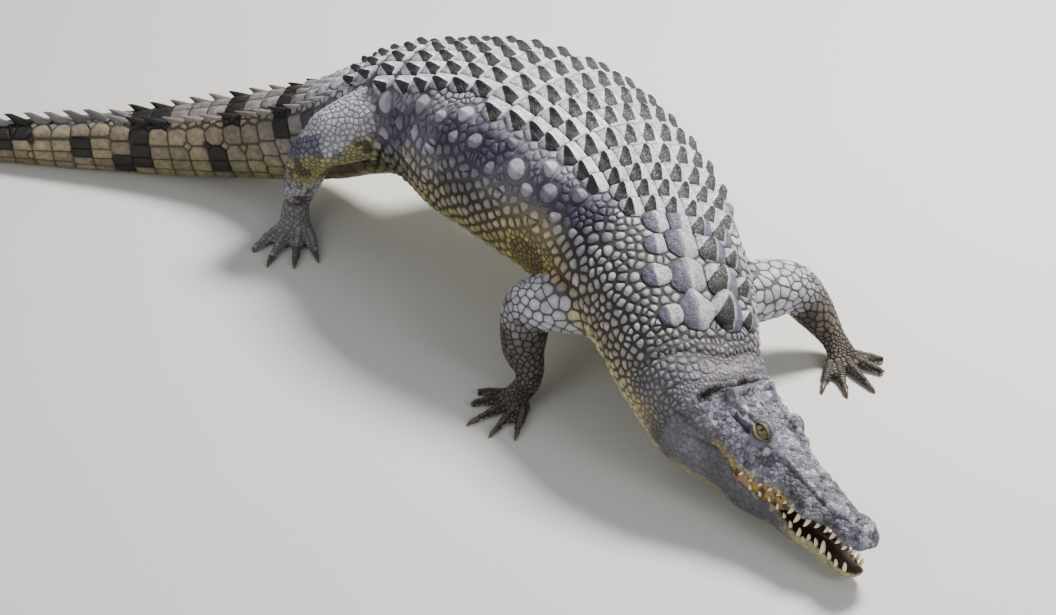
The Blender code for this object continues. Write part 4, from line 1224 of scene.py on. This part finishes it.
def set_irregular(seeds, mesh, w, tree):
    """Evens out seeds over what the rows leave bare."""
    tri = np.empty(len(mesh.loop_triangles) * 3, np.int32)
    mesh.loop_triangles.foreach_get("vertices", tri)
    tri = tri.reshape(-1, 3)
    points = mesh_arrays(mesh)[0]
    a, b, c = points[tri[:, 0]], points[tri[:, 1]], points[tri[:, 2]]
    area = np.linalg.norm(np.cross(b - a, c - a), axis=1) / 2
    centre = (a + b + c) / 3
    part = w["part"][tri[:, 0]]
    size = target_size(centre, {k: w[k][tri[:, 0]] for k in ("s", "part", "t", "angle")})
    for _, side, eye in EYES:
        v = centre - eye
        d = np.linalg.norm(v, axis=1)
        area[(d < EYE_R * 1.6) & (v @ eye_frame(side)[2] > LID_EDGE * d)] = 0
    area[part == IN_MOUTH] = 0
    face = {k: w[k][tri[:, 0]] for k in ("s", "out", "up")}
    area[(part == UPPER_HEAD) & (nostril(face["s"], np.abs(face["out"])) > 0.35) & (face["up"] > 0.012)] = 0
    area[w["s"][tri[:, 0]] > TAIL_TIP - 0.03] = 0
    at, turned = w["s"][tri[:, 0]], np.abs(w["angle"][tri[:, 0]])
    for s in np.arange(0.76, PELVIS_END, 0.01):
        a_row, arc_row = row_arcs(s)
        bare = (part == BODY) & (np.abs(at - s) <= 0.005)
        area[bare & (np.interp(turned, a_row, arc_row) < back_edge(s) - 0.004)] = 0
    weight = area / size**2
    wanted = int((area / (CELL_AREA * size**2)).sum())
    many = SPOTS_EACH * wanted
    pick = RNG.choice(len(tri), size=many, p=weight / weight.sum())
    u, v = RNG.random((2, many))
    turn = u + v > 1
    u[turn], v[turn] = 1 - u[turn], 1 - v[turn]
    spots = a[pick] * (1 - u - v)[:, None] + b[pick] * u[:, None] + c[pick] * v[:, None]
    r = size[pick]
    fixed = seeds.all()
    fixed_tree = point_tree(fixed["p"])
    free = np.array([all(d >= fixed["size"][j] * 0.94 + reach * 0.72
                         for _, j, d in fixed_tree.find_n(Vector(q), 3)) for q, reach in zip(spots, r)])
    spots, r = spots[free], r[free]
    pick = pick[free]
    count = int(wanted * free.mean())
    centres = spots[:count].copy()
    for _ in range(EVENING_ROUNDS):
        owner = nearest(point_tree(centres), spots)
        held = np.bincount(owner, minlength=len(centres))
        for k in range(3):
            total = np.bincount(owner, spots[:, k], len(centres))
            centres[:, k] = np.where(held > 0, total / np.maximum(held, 1), centres[:, k])
    centres = centres[held > 2]
    q, n, _ = on_skin(tree, centres)
    k = nearest(point_tree(points), q)
    here = {key: w[key][k] for key in ("s", "part", "t", "angle", "up", "lip")}
    size = target_size(q, here)
    along = w["along"][k]
    part, s = here["part"], here["s"]
    neck, trunk = (part == BODY) & (s < SHOULDER), (part == BODY) & (s >= SHOULDER)
    limb, foot = np.isin(part, ALL_LEGS), np.isin(part, ALL_LEGS) & (here["t"] > 4.8)
    fore = np.isin(part, FORELEGS)
    dome = np.where(neck, np.interp(s, [0.44, 0.60], [0.14, 0.36]), 0.30)
    dome = np.where(limb, np.where(fore, 0.13, 0.22), dome)
    dome = np.where(foot, 0.26, dome)
    dome = np.where(part == UPPER_HEAD, 0.13, dome)
    dome = np.where(part == LOWER_JAW, 0.06, dome)
    gap = np.where(neck, np.interp(s, [0.44, 0.60], [0.0022, 0.0044]), 0.0026)
    gap = np.where(limb, np.where(fore, 0.0016, 0.0017), gap)
    gap = np.where(part == UPPER_HEAD, 0.0007, np.where(part == LOWER_JAW, 0.0005, gap))
    edge = np.where(limb, 0.0014, 0.0010)
    edge = np.where(np.isin(part, (UPPER_HEAD, LOWER_JAW)), 0.0004, edge)
    turned = np.degrees(np.abs(here["angle"]))
    tone = np.where(trunk & (turned < 100) & (s < RUMP), -0.55, 0.0) + np.where(neck & (s > 0.56), 0.10, 0.0)
    tone = tone + np.where(limb & ~foot, 0.10, 0.0)
    sharp = np.where(neck, 5.5, np.where(trunk, 7.0, 12.0))
    group = np.select([foot, limb, part == UPPER_HEAD, part == LOWER_JAW, neck],
                      [GROUPS.index(name) for name in ("foot", "leg", "head", "jaw", "neck")],
                      GROUPS.index("flank"))
    seeds.add(q, n, along, size=size, dome=dome * size, edge=edge, keel=np.where(neck, 0.10 * size, 0.0),
              gap=gap, sharp=sharp, tone=tone, group=group)


def find_neighbours(g):
    """The scales about each scale, and how they lie in its own plane."""
    p, n, a = g["p"], g["n"], g["a"]
    b = np.cross(n, a)
    tree = point_tree(p)
    near = np.array([[j for _, j, _ in tree.find_n(Vector(q), 16)] for q in p])
    d = p[near] - p[:, None]
    x, y = np.einsum("ijk,ik->ij", d, a), np.einsum("ijk,ik->ij", d, b)
    flat = np.hypot(x, y)
    size = g["size"]
    share = size[:, None] / (size[:, None] + size[near])
    ok = (flat > 1e-5) & (np.einsum("ijk,ik->ij", n[near], n) > -0.1)
    ok &= np.abs(np.einsum("ijk,ik->ij", d, n)) < flat * 1.2 + 0.004
    return np.arctan2(y, x), np.where(ok, flat * share, 1e3)


def cell_radius(g, neighbours, mine, turns):
    """How far each scale reaches at each angle before it meets its neighbours."""
    angle, reach = (v[mine] for v in neighbours)
    size, sharp = g["size"][mine], g["sharp"][mine]
    radius = np.empty((len(mine), len(turns)))
    for k, turn in enumerate(turns):
        c = np.maximum(np.cos(turn - angle), 1e-3) / reach
        m = c.max(1, keepdims=True)
        radius[:, k] = 1 / (m[:, 0] * ((c / m) ** sharp[:, None]).sum(1) ** (1 / sharp))
    return np.minimum(radius, 1.55 * size[:, None])


PATCH = 0.0014  # the radius of a scale's patch on the map OFBake
MOST_FACES = 195000  # in one piece of scales
COARSE = (1.0, 0.955, 0.84, 0.58, 0.28)
FINE = (1.0, 0.97, 0.92, 0.82, 0.68, 0.52, 0.36, 0.18)
# for each group: corners round a scale, its rings, how mottled, how rugged, the size of the lumps, how much
# of its colour a scale keeps at its rim, how deep its cracks are and how far the scales differ in colour
STYLES = {"back": (40, FINE, 0.34, 0.0016, 0.0070, 0.42, 0.35, 0.24),
          "flank": (18, COARSE, 0.26, 0.0006, 0.005, 0.45, 0.0, 0.40),
          "belly": (20, COARSE, 0.14, 0.0, 0.005, 0.6, 0.0, 0.32),
          "neck": (16, COARSE, 0.32, 0.0006, 0.004, 0.34, 0.0, 0.50),
          "tail": (32, FINE[:-1], 0.34, 0.0009, 0.007, 0.58, 0.25, 0.32),
          "leg": (16, COARSE, 0.26, 0.0004, 0.004, 0.55, 0.0, 0.30),
          "foot": (12, COARSE, 0.20, 0.0002, 0.004, 0.55, 0.0, 0.32),
          "head": (16, COARSE, 0.66, 0.0011, 0.0042, 0.80, 0.8, 0.14),
          "jaw": (16, COARSE, 0.30, 0.0004, 0.004, 0.88, 0.4, 0.14)}


def scale_mesh(g, radius, turns, tree, tint, where_uv, style):
    """Points, faces, colours and map places of all the scales in a group."""
    count, k = len(g["p"]), len(turns)
    _, rings, mottle, rugged, lump, _, cracks, _ = style
    a, n = g["a"], g["n"]
    b = np.cross(n, a)
    cos, sin = np.cos(turns), np.sin(turns)
    armour = style is STYLES["back"]
    ends = cos**2 if armour else np.ones(k)  # armour shows its seams between rows, not within them
    radius = np.maximum(radius - g["gap"][:, None] / 2 * (0.2 + 0.8 * ends), 0.22 * g["size"][:, None])
    points, paints, blotches_and_keel_shade, uvs = [], [], [], []
    for rho in (*rings, 0.0):
        r = radius * rho
        x, y = r * cos, r * sin
        if rho == 0.0:
            x, y = x[:, :1], y[:, :1]
        flat = g["p"][:, None] + x[..., None] * a[:, None] + y[..., None] * b[:, None]
        m = flat.shape[1]
        ground, _, _ = on_skin(tree, flat.reshape(-1, 3))
        ground = ground.reshape(count, m, 3)
        size = g["size"][:, None]
        xs, ys = x / size, y / size
        body = g["edge"][:, None] + (g["dome"] - g["edge"])[:, None] * (1 - rho**2.4)
        if armour:
            body = body + 0.17 * size * np.clip(0.5 + 0.5 * xs, 0, 1) * (g["mark"][:, None] > 0)
        ridge = g["keel"][:, None] * np.exp(-np.abs(ys) / 0.24) * step(-1.1, 0.35, xs) * step(1.15, 0.70, xs)
        high = body + ridge * (1 - rho**6) + rugged * (billow(flat, lump, 61) - 0.5)
        if rho == 1.0:
            high = np.full((count, m), -0.0016)
        elif rho > 0.9:
            high = high * 0.62
        points.append(ground + high[..., None] * n[:, None])
        dark = 1 - (1 - g["rim"][:, None]) * float(step(0.80, 1.02, rho)) * (0.15 + 0.85 * ends[:m])
        # the black keel marks: dark blotches that sit on the same side of every keel, partly the hide's own
        # dark blotches and partly painted shade beside the keel
        reach = 1.15 * np.clip((1.02 - xs) / 1.5, 0, 1)
        inside = np.minimum(np.minimum(ys, reach - ys), xs + 0.90)
        blotches_and_keel_shade.append((0.5 + 1.5 * (inside - 0.70 * (1 - g["mark"][:, None]))) * (g["mark"][:, None] > 0))
        # painted shade: the face of a scute that looks outwards is slate, with faint stripes
        facing = ys * g["side"][:, None] + 0.22 * noise(flat, 0.02, 65) - 0.10 * xs
        shade = np.abs(g["side"][:, None]) * step(0.04, 0.40, facing)
        # painted highlight: lighter along the crest of each keel and over the middle of each scale
        crest = 0.25 * np.exp(-((ys + 0.04) / 0.10) ** 2) * (g["keel"][:, None] > 0.004)
        line = cracks * (1 - step(0.0, 0.035, np.abs(noise(flat, 0.0115, 64) - 0.5)))
        spots = 2 * noise(flat, 0.0075, 62) - 1 + 0.8 * (noise(flat, 0.0028, 63) - 0.5)
        fleck = 1 - 0.75 * line + mottle * spots
        tone = dark * (1 + 0.20 * float(step(0.6, 0.0, rho)) + crest) * fleck
        lines = 1 - 0.25 * shade * step(0.4, 0.8, np.sin(rho * 34))
        paints.append(mix(np.broadcast_to(tint[:, None], (count, m, 3)), SLATE * 1.05, 0.9 * shade)
                      * (tone * lines)[..., None])
        uvs.append(where_uv[:, None] + PATCH * rho * np.stack(
            [np.broadcast_to(cos[:m], (count, m)), np.broadcast_to(sin[:m], (count, m))], -1))
    per = k * len(rings) + 1
    points = np.concatenate(points, 1).reshape(-1, 3)
    paints = np.clip(np.concatenate(paints, 1).reshape(-1, 3), 0, 1)
    blotches_and_keel_shade = np.concatenate(blotches_and_keel_shade, 1).ravel()
    uvs = np.concatenate(uvs, 1).reshape(-1, 2)
    faces = []
    j = np.arange(k)
    for ring in range(len(rings) - 1):
        p0, p1 = ring * k + j, ring * k + (j + 1) % k
        faces += [np.stack([p0, p1, p1 + k], 1), np.stack([p0, p1 + k, p0 + k], 1)]
    last = (len(rings) - 1) * k
    faces.append(np.stack([last + j, last + (j + 1) % k, np.full(k, per - 1)], 1))
    faces.append(np.stack([j[2:], j[1:-1], np.zeros(k - 2, int)], 1))
    one = np.concatenate(faces)
    faces = (one[None] + (np.arange(count) * per)[:, None, None]).reshape(-1, 3)
    return points, faces, paints, uvs, blotches_and_keel_shade


def bake_place(w):
    """Where each root lies on an unwrap of the skin: the body, head and jaw above, the legs below."""
    u = 0.01 + 0.97 * w["s"] / TAIL_TIP
    v = 0.69 + 0.29 * w["angle"] / np.pi
    for i in range(4):
        mine = w["part"] == i + 1
        u = np.where(mine, 0.01 + 0.245 * i + 0.235 * w["t"] / 6, u)
        v = np.where(mine, 0.20 + 0.18 * w["phi"] / np.pi, v)
    return np.stack([u, v], 1)


# ---- crest, eyes, teeth and claws ---------------------------------------------------------------------
def crest_blades(tree):
    """The fins along the tail: a long slope in front, a hooked edge behind."""
    whorls = int((TAIL_TIP - 0.04 - PELVIS_END) / WHORL)
    bodies, roots = [], []
    for k in range(-2, whorls):
        s = PELVIS_END + (k + 0.5) * WHORL
        spread, high = float(smooth(CREST_SPREAD, s)), max(float(smooth(CREST, s)), 0.008)
        low = 0.34 if spread > 3 else 0.60
        for side in ((-1, 1) if spread > 3 else (0,)):
            root, n, _ = on_skin(tree, body_surface(s, side * np.radians(spread)))
            root, n = root[0], n[0]
            _, f, _, uv = (v[0] for v in frame_at(s))
            rise = unit(n * 0.75 + uv * 0.5)
            back = unit(-f - rise * np.dot(-f, rise))
            across = np.cross(rise, back)
            tall = low * high * (0.90 + 0.25 * RNG.random()) + 0.004
            long, thick = WHORL * 1.06, 0.0056 + 0.08 * high
            rings = []
            angle = around(20)
            for h in np.linspace(0, 1, 11):
                ahead = -0.5 * long + long * h**1.3
                behind = 0.44 * long + 0.85 * tall * h**1.5
                middle, half = (ahead + behind) / 2, max((behind - ahead) / 2, 0.0012)
                wide = thick * (1 - 0.80 * h)
                rings.append(root + rise * (h * tall - 0.004 * (1 - h))
                             + (middle + half * np.cos(angle))[:, None] * back
                             + wide * np.sin(angle)[:, None] * across)
            bodies.append(loft(rings))
            roots.append(root)
    return bodies, np.array(roots)


def eyeball(name, side, centre, mat):
    along, up, look = eye_frame(side)
    rows, n = 64, 72
    polar = np.pi * np.arange(rows + 1) / rows
    turn = 2 * np.pi * np.arange(n) / n
    p, t = np.meshgrid(polar[1:-1], turn, indexing="ij")
    rings = np.stack([np.cos(p), np.sin(p) * np.cos(t), np.sin(p) * np.sin(t)], -1)
    points, faces = loft(rings)
    points[-2:] = [[1, 0, 0], [-1, 0, 0]]
    x, y = points[:, 1], points[:, 2]
    front = points[:, 0] > 0
    swell = 1 + 0.035 * step(0.55, 0.0, np.hypot(x, y)) * front
    r = np.hypot(x, y)
    ray = noise(np.stack([np.cos(np.arctan2(y, x)) * 3, np.sin(np.arctan2(y, x)) * 3, r * 0.6], 1), 0.16, 4)
    iris = mix(rgb(112, 100, 44), rgb(56, 50, 26), ray)
    iris = mix(iris, rgb(132, 118, 58), step(0.40, 0.22, r) * 0.6)
    iris = mix(iris, rgb(22, 19, 12), step(0.56, 0.72, r))
    slit = np.abs(x) - 0.15 * np.sqrt(np.clip(1 - (y / 0.60) ** 2, 0, 1))
    c = mix(rgb(8, 8, 8), iris, step(-0.005, 0.02, slit))
    c = np.where(front[:, None], c, rgb(30, 24, 14))
    outwards = points[:, :1] * look + x[:, None] * along + y[:, None] * up
    world = centre + EYE_R * 0.985 * swell[:, None] * outwards
    t = world[faces]
    if np.einsum("ij,ij->i", t[:, 0] - centre, np.cross(t[:, 1] - t[:, 0], t[:, 2] - t[:, 0])).sum() < 0:
        faces = faces[:, ::-1]
    return make_object(name, world, faces, mat, paint=c)


# the rows of a lid: how far from the slit to where the skin begins, and how far off the eyeball
LID_ROWS = ((-0.04, 0.0002), (0.00, 0.0010), (0.05, 0.0024), (0.13, 0.0034), (0.24, 0.0036), (0.34, 0.0026),
            (0.44, 0.0040), (0.56, 0.0044), (0.66, 0.0032), (0.78, 0.0042), (0.90, 0.0036), (1.05, 0.0012))


def eyelids(side, centre):
    """Both lids of an eye: a rim round an almond slit, rolling back over folds into the skin."""
    along, up, look = eye_frame(side)
    n = 96
    turn = 2 * np.pi * np.arange(n) / n
    x = 0.0196 * np.cos(turn)
    y = np.sin(turn)
    y = np.where(y > 0, 0.0080 * np.abs(y) ** 1.2, -0.0088 * np.abs(y) ** 1.3)
    slit = np.arcsin(np.clip(np.hypot(x, y) / (EYE_R + 0.0006), 0, 0.97))
    azimuth = np.arctan2(y, x)
    outer = np.maximum(np.arccos(LID_EDGE), slit + 0.16)
    rings = []
    for m, off in LID_ROWS:
        a = slit + (outer - slit) * m
        wrinkle = 0.0005 * np.sin(azimuth * 11 + m * 9) * step(0.15, 0.4, m) * step(1.0, 0.8, m)
        brow = 0.0016 * step(0.30, 0.60, m) * step(1.05, 0.80, m) * np.clip(np.sin(azimuth), 0, 1)
        r = EYE_R + off + wrinkle + brow
        rings.append(centre + r[:, None] * (np.cos(a)[:, None] * look + np.sin(a)[:, None] * (
            np.cos(azimuth)[:, None] * along + np.sin(azimuth)[:, None] * up)))
    outside = np.array(rings)
    inside = centre + (outside[::-1] - centre) * 0.955
    grid = np.concatenate([outside, inside[1:]])
    m = len(grid)
    i, j = np.meshgrid(np.arange(m), np.arange(n), indexing="ij")
    k, i2 = (j + 1) % n, (i + 1) % m
    quads = np.stack([i * n + j, i * n + k, i2 * n + k, i2 * n + j], -1).reshape(-1, 4)
    points = grid.reshape(-1, 3)
    p = points[quads]
    if np.einsum("ij,ij->i", p[:, 0], np.cross(p[:, 1] - p[:, 0], p[:, 2] - p[:, 0])).sum() < 0:
        quads = quads[:, ::-1]
    rows = [r[0] for r in LID_ROWS]
    rim = np.repeat(rows + rows[::-1][1:], n)
    c = mix(rgb(24, 21, 18), rgb(128, 120, 80), step(0.00, 0.07, rim))
    c = mix(c, HEAD_DARK * 0.7, step(0.16, 0.30, rim))
    c = mix(c, HEAD_BLUE * 1.1, step(0.36, 0.56, rim))
    c = c * (0.75 + 0.5 * noise(points, 0.004, 71))[:, None]
    return points, quads, c


def tooth(base, tip, lean, radius, sides=10, rows=7):
    rings = []
    d = unit(tip - base)
    a = unit(np.cross(d, [0.3, 0.5, 0.81]))
    b = np.cross(d, a)
    turn = around(sides)
    for h in np.linspace(-0.35, 1, rows + 2):
        c = base + (tip - base) * h + lean * max(h, 0) ** 2
        r = radius * (np.sqrt(max(1 - max(h, 0) ** 1.5, 0.004)) if h < 1 else 0.06)
        rings.append(c + r * (np.cos(turn)[:, None] * a + np.sin(turn)[:, None] * b))
    return loft(rings)


def teeth():
    bodies = []
    for upper in (True, False):
        count = 15 if upper else 13
        for k in range(count):
            q = (k + 0.5) / count
            u = 0.007 + 0.290 * q**1.12 if upper else 0.014 + 0.262 * q**1.12
            big = 0.0100 + 0.0025 * np.cos(k * 1.7) + 0.005 * float(blob(u, 0, 0.13, 0, 0.03, 1))
            if not upper:
                big = min(0.50 * float(drop(u)) + 0.002, 0.0115 + 0.0025 * np.cos(k * 2.1))
                if k == 3:
                    big = 0.018
            half = float(smooth(JAW_HALF if upper else LOW_HALF, u))
            lip = float(smooth(MOUTH, u)) - (0 if upper else float(drop(u)))
            for side in (-1, 1):
                squeeze = 0.84 if k == 0 else 1
                out = side * (half - (0.0036 if upper else 0.0042)) * squeeze
                sign = -1 if upper else 1
                grow = big * (0.88 + 0.24 * RNG.random()) * float(np.interp(u, [0.13, 0.20], [1.0, 0.55]))
                base = place(u, out, lip - sign * 0.001)[0]
                tip = place(u + 0.001 * RNG.normal(), out + side * 0.0030, lip + sign * grow)[0]
                inward = place(u + 0.003, out, lip)[0] - place(u, out, lip)[0]
                bodies.append(tooth(base, tip, inward, 0.0026 + 0.15 * grow))
    return bodies


def mouth_lining():
    """The fleshy membrane between the jaws in the rear half of the mouth."""
    bodies = []
    for side in (-1, 1):
        rings = []
        for u in np.linspace(0.150, JAW_CORNER - 0.002, 60):
            full = float(step(0.150, 0.205, u))
            lip, gape = float(smooth(MOUTH, u)), float(drop(u)) * full
            m = np.linspace(0, 1, 12)
            deep = 0.0050 + 0.010 * (1 - full) + 0.0035 * np.sin(np.pi * m) + 0.0008 * np.sin(u * 900 + 4 * m)
            half = (1 - m) * float(smooth(JAW_HALF, u)) + m * float(smooth(LOW_HALF, u))
            high = lip + 0.005 - (gape + 0.010) * m
            front = np.array([place(u, side * (x - d), z)[0] for x, d, z in zip(half, deep, high)])
            back = np.array([place(u, side * (x - d - 0.003), z)[0] for x, d, z in zip(half, deep, high)])
            rings.append(np.concatenate([front, back[::-1]]))
        bodies.append(loft(rings))
    return bodies


def claws_of(leg):
    made = []
    for path, across in digits_of(leg)[:3]:
        tip = path[-1]
        d = unit(tip - course(path, 1.96))
        end = tip + unit([d[0], d[1], 0]) * leg["claw"]
        end[2] = 0.0016
        r = leg["toe"] * 0.56
        joints = [tip - d * 0.004, tip + d * 0.013 + [0, 0, 0.0012], end]
        t = np.linspace(0, 2, 15)
        c = course(joints, t)
        way = unit(np.gradient(c, axis=0))
        side = unit(across - way * (way @ across)[:, None])
        deep = np.cross(way, side)
        k = r * np.interp(t, [0, 0.6, 1.2, 1.7, 2], [1.0, 0.95, 0.68, 0.34, 0.07])
        rings = ovals_along(c, k, side, deep, flat=0.86)
        rings[..., 2] = np.maximum(rings[..., 2], 0.0004)
        made.append(loft(rings))
    return made


# ---- putting it together --------------------------------------------------------------------------------
def piece(obj, slot, *stands_for):
    """Puts a piece on the one body and in place of the solids it stands for; slot is not used."""
    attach(obj, "root")
    if stands_for:
        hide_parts(*stands_for)


def dress():
    skin_mat = hide_material("skin_hide", 0.62, 260.0, 170.0, 0.0012, 0.16)
    scale_mat = hide_material("scale_hide", 0.46, 330.0, 210.0, 0.0010, 0.15)
    head_mat = hide_material("head_hide", 0.40, 380.0, 300.0, 0.0016, 0.34)
    armour_mat = hide_material("armour_hide", 0.50, 200.0, 130.0, 0.0020, 0.44)
    mesh = skin_points()
    mesh.calc_loop_triangles()
    points, _, normals = mesh_arrays(mesh)
    print("skin triangles", len(mesh.loop_triangles))
    w = regions(points, normals)
    base = markings_and_painted_light(points, w)
    keep = gaps(w)
    paint = np.clip(base * keep[:, None], 0, 1)
    attribute = mesh.color_attributes.new("paint", "FLOAT_COLOR", "POINT")
    attribute.data.foreach_set("color", np.pad(paint, ((0, 0), (0, 1))).astype(np.float32).ravel())
    mesh.polygons.foreach_set("use_smooth", np.ones(len(mesh.polygons), bool))
    mesh.materials.clear()
    mesh.materials.append(skin_mat)
    flesh_nodes = [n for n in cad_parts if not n.startswith(("eye", "claw"))]
    piece(add_object("skin", mesh), "hide", *flesh_nodes)

    tree = BVHTree.FromPolygons([tuple(p) for p in points], [tuple(p.vertices) for p in mesh.polygons])
    seeds = Seeds()
    set_rows(seeds, tree)
    set_toes(seeds, tree)
    set_irregular(seeds, mesh, w, tree)
    g = seeds.all()
    g["n"] = unit(g["n"])
    g["a"] = unit(g["a"] - g["n"] * (g["a"] * g["n"]).sum(1, keepdims=True))
    here = regions(g["p"], g["n"])
    tint = markings_and_painted_light(g["p"], here)
    lift = g["tone"] * (here["part"] == BODY) * step(118, 96, np.degrees(np.abs(here["angle"])))
    tint = mix(tint, PALE, np.clip(lift, 0, 1))
    tint = mix(tint, SLATE * 0.9, np.clip(-lift, 0, 1))
    group = g["group"].astype(int)
    spread = np.array([STYLES[name][7] for name in GROUPS])[group]
    tint = tint * (1 - spread / 2 + spread * RNG.random(len(g["p"])))[:, None]
    g["rim"] = np.array([STYLES[name][5] for name in GROUPS])[group]
    g["rim"] = g["rim"] + 0.36 * (g["group"] == GROUPS.index("neck")) * step(0.60, 0.46, here["s"])
    # the outermost scutes, and the large ones of the neck, have painted shade: slate, faintly striped, on the
    # face that looks outwards
    edge = back_edge(here["s"])
    outer = step(edge - 0.062, edge - 0.050, row_distance(here["s"], here["angle"]))
    armour = (g["group"] == GROUPS.index("back")) & (here["s"] > 0.55)
    g["side"] = -np.sign(here["angle"]) * armour * np.where(here["s"] < 0.83, 1.0, 0.5 * outer)
    uv = bake_place(here)
    neighbours = find_neighbours(g)
    print("scales", len(g["p"]), {name: int((g["group"] == i).sum()) for i, name in enumerate(GROUPS)})
    total = 0
    for i, name in enumerate(GROUPS):
        mine = np.flatnonzero(g["group"] == i)
        style = STYLES[name]
        many = style[0]
        turns = 2 * np.pi * (np.arange(many) + 0.5) / many
        radius = cell_radius(g, neighbours, mine, turns)
        chunks = int(np.ceil(len(mine) * many * 2 * len(style[1]) / MOST_FACES))
        for c, share in enumerate(np.array_split(np.arange(len(mine)), chunks)):
            chunk = mine[share]
            sub = {f: v[chunk] for f, v in g.items()}
            p, f, paint, place_uv, blotches_and_keel_shade = scale_mesh(
                sub, radius[share], turns, tree, tint[chunk], uv[chunk], style)
            p[:, 2] = np.maximum(p[:, 2], 0.0002)
            word = f"scales_{name}" + (f"_{c + 1}" if chunks > 1 else "")
            mat = {"head": head_mat, "jaw": head_mat, "back": armour_mat}.get(name, scale_mat)
            obj = make_object(word, p, f, mat, paint, place_uv, blotches_and_keel_shade=blotches_and_keel_shade)
            total += len(f)
            print(word, len(f))
            piece(obj, "hide")
    print("scale triangles", total)

    bodies, roots = crest_blades(tree)
    p, f = joined(bodies)
    each = len(bodies[0][0])
    here = regions(roots, np.tile([0, 0, 1.0], (len(roots), 1)))
    c = np.repeat(markings_and_painted_light(roots, here) * (0.65 + 0.5 * RNG.random(len(roots)))[:, None], each, 0)
    blade_uv = np.repeat(bake_place(here), each, 0)
    obj = make_object("crest", p, f, scale_mat, c, blade_uv)
    piece(obj, "hide")

    eye_mat = plain_material("eye_surface", (0, 0, 0), 0.08, coat=1.0, painted=True)
    lids = []
    for word, side, centre in EYES:
        ball = eyeball(f"eyeball_{word}", side, centre, eye_mat)
        piece(ball, "eye", f"eye_{word}")
        lids.append(eyelids(side, centre))
    p, f = joined([(a, b) for a, b, _ in lids])
    obj = make_object("eyelids", p, f, hide_material("lid_hide", 0.42, 420.0, 420.0, 0.0005, 0.12),
                      np.concatenate([c for _, _, c in lids]))
    piece(obj, "hide")

    p, f = joined(mouth_lining())
    spots = noise(p, 0.009, 81)
    c = mix(rgb(160, 138, 66), rgb(160, 124, 98), step(0.45, 0.70, noise(p, 0.016, 82)))
    c = mix(c, rgb(52, 42, 28), 0.85 * step(0.56, 0.66, spots))
    obj = make_object("mouth_lining", p, f, hide_material("wet_flesh", 0.30, 500.0, 420.0, 0.0006, 0.16), c)
    piece(obj, "hide")

    p, f = joined(teeth())
    ivory = plain_material("ivory", rgb(232, 224, 196), 0.28, coat=0.3, bump=0.0003, grain=500.0,
                           streak=rgb(206, 188, 140))
    obj = make_object("teeth", p, f, ivory)
    piece(obj, "tooth")

    horn = plain_material("horn", rgb(52, 46, 40), 0.38, bump=0.0006, grain=240.0, streak=rgb(96, 84, 66))
    for leg, tag in zip(LEGS, ("hand_right", "hand_left", "foot_right", "foot_left")):
        p, f = joined(claws_of(leg))
        obj = make_object(f"claws_{tag}", p, f, horn)
        piece(obj, "claw", *[f"claw_{tag}_{k}" for k in (1, 2, 3)])


# ---- the studio -----------------------------------------------------------------------------------------
def area_light(name, at, target, size, energy, color=(1, 1, 1)):
    data = bpy.data.lights.new(name, "AREA")
    data.size = size
    data.energy = energy
    data.color = color
    obj = add_object(name, data)
    obj.location = at
    obj.rotation_euler = (Vector(target) - Vector(at)).to_track_quat("-Z", "Y").to_euler()


def studio():
    mesh = bpy.data.meshes.new("floor")
    size = 5.0
    corners = [(-size, -size, 0), (size, -size, 0), (size, size, 0), (-size, size, 0)]
    mesh.from_pydata(corners, [], [(0, 1, 2, 3)])
    mesh.materials.append(plain_material("floor_paint", (0.62, 0.61, 0.59), 0.7, streak=(0.60, 0.59, 0.57),
                                         grain=3.0))
    add_object("floor", mesh)
    world = bpy.data.worlds.new("studio")
    bpy.context.scene.world = world
    world.use_nodes = True
    world.node_tree.nodes["Background"].inputs["Color"].default_value = (0.94, 0.97, 1.0, 1)
    world.node_tree.nodes["Background"].inputs["Strength"].default_value = 0.42
    area_light("key", (2.4, 1.5, 3.4), (0.1, 0, 0.2), 1.0, 430, (1.0, 0.97, 0.92))
    area_light("fill", (-3.0, -3.2, 2.6), (0.2, -0.2, 0.2), 3.0, 60)
    area_light("front", (3.6, -3.2, 2.6), (0.6, -0.5, 0.1), 1.6, 60)

    # the camera's viewing angle and distance, and its lens for an image 1056 wide
    elevation, azimuth, distance = math.radians(35.0), math.radians(-0.6), 6.5
    sensor, image_width, focal_length = 36.0, 1056.0, 3195.0
    target = Vector((0.201 + ORIGIN_X, -0.596 + ORIGIN_Y, 0.2))
    data = bpy.data.cameras.new("camera")
    data.lens = focal_length * sensor / image_width
    data.sensor_width = sensor
    camera = add_object("camera", data)
    way = Vector((math.sin(azimuth) * math.cos(elevation), -math.cos(azimuth) * math.cos(elevation),
                  math.sin(elevation)))
    camera.location = target + way * distance
    camera.rotation_euler = way.to_track_quat("Z", "Y").to_euler()
    bpy.context.scene.camera = camera


dress()
studio()
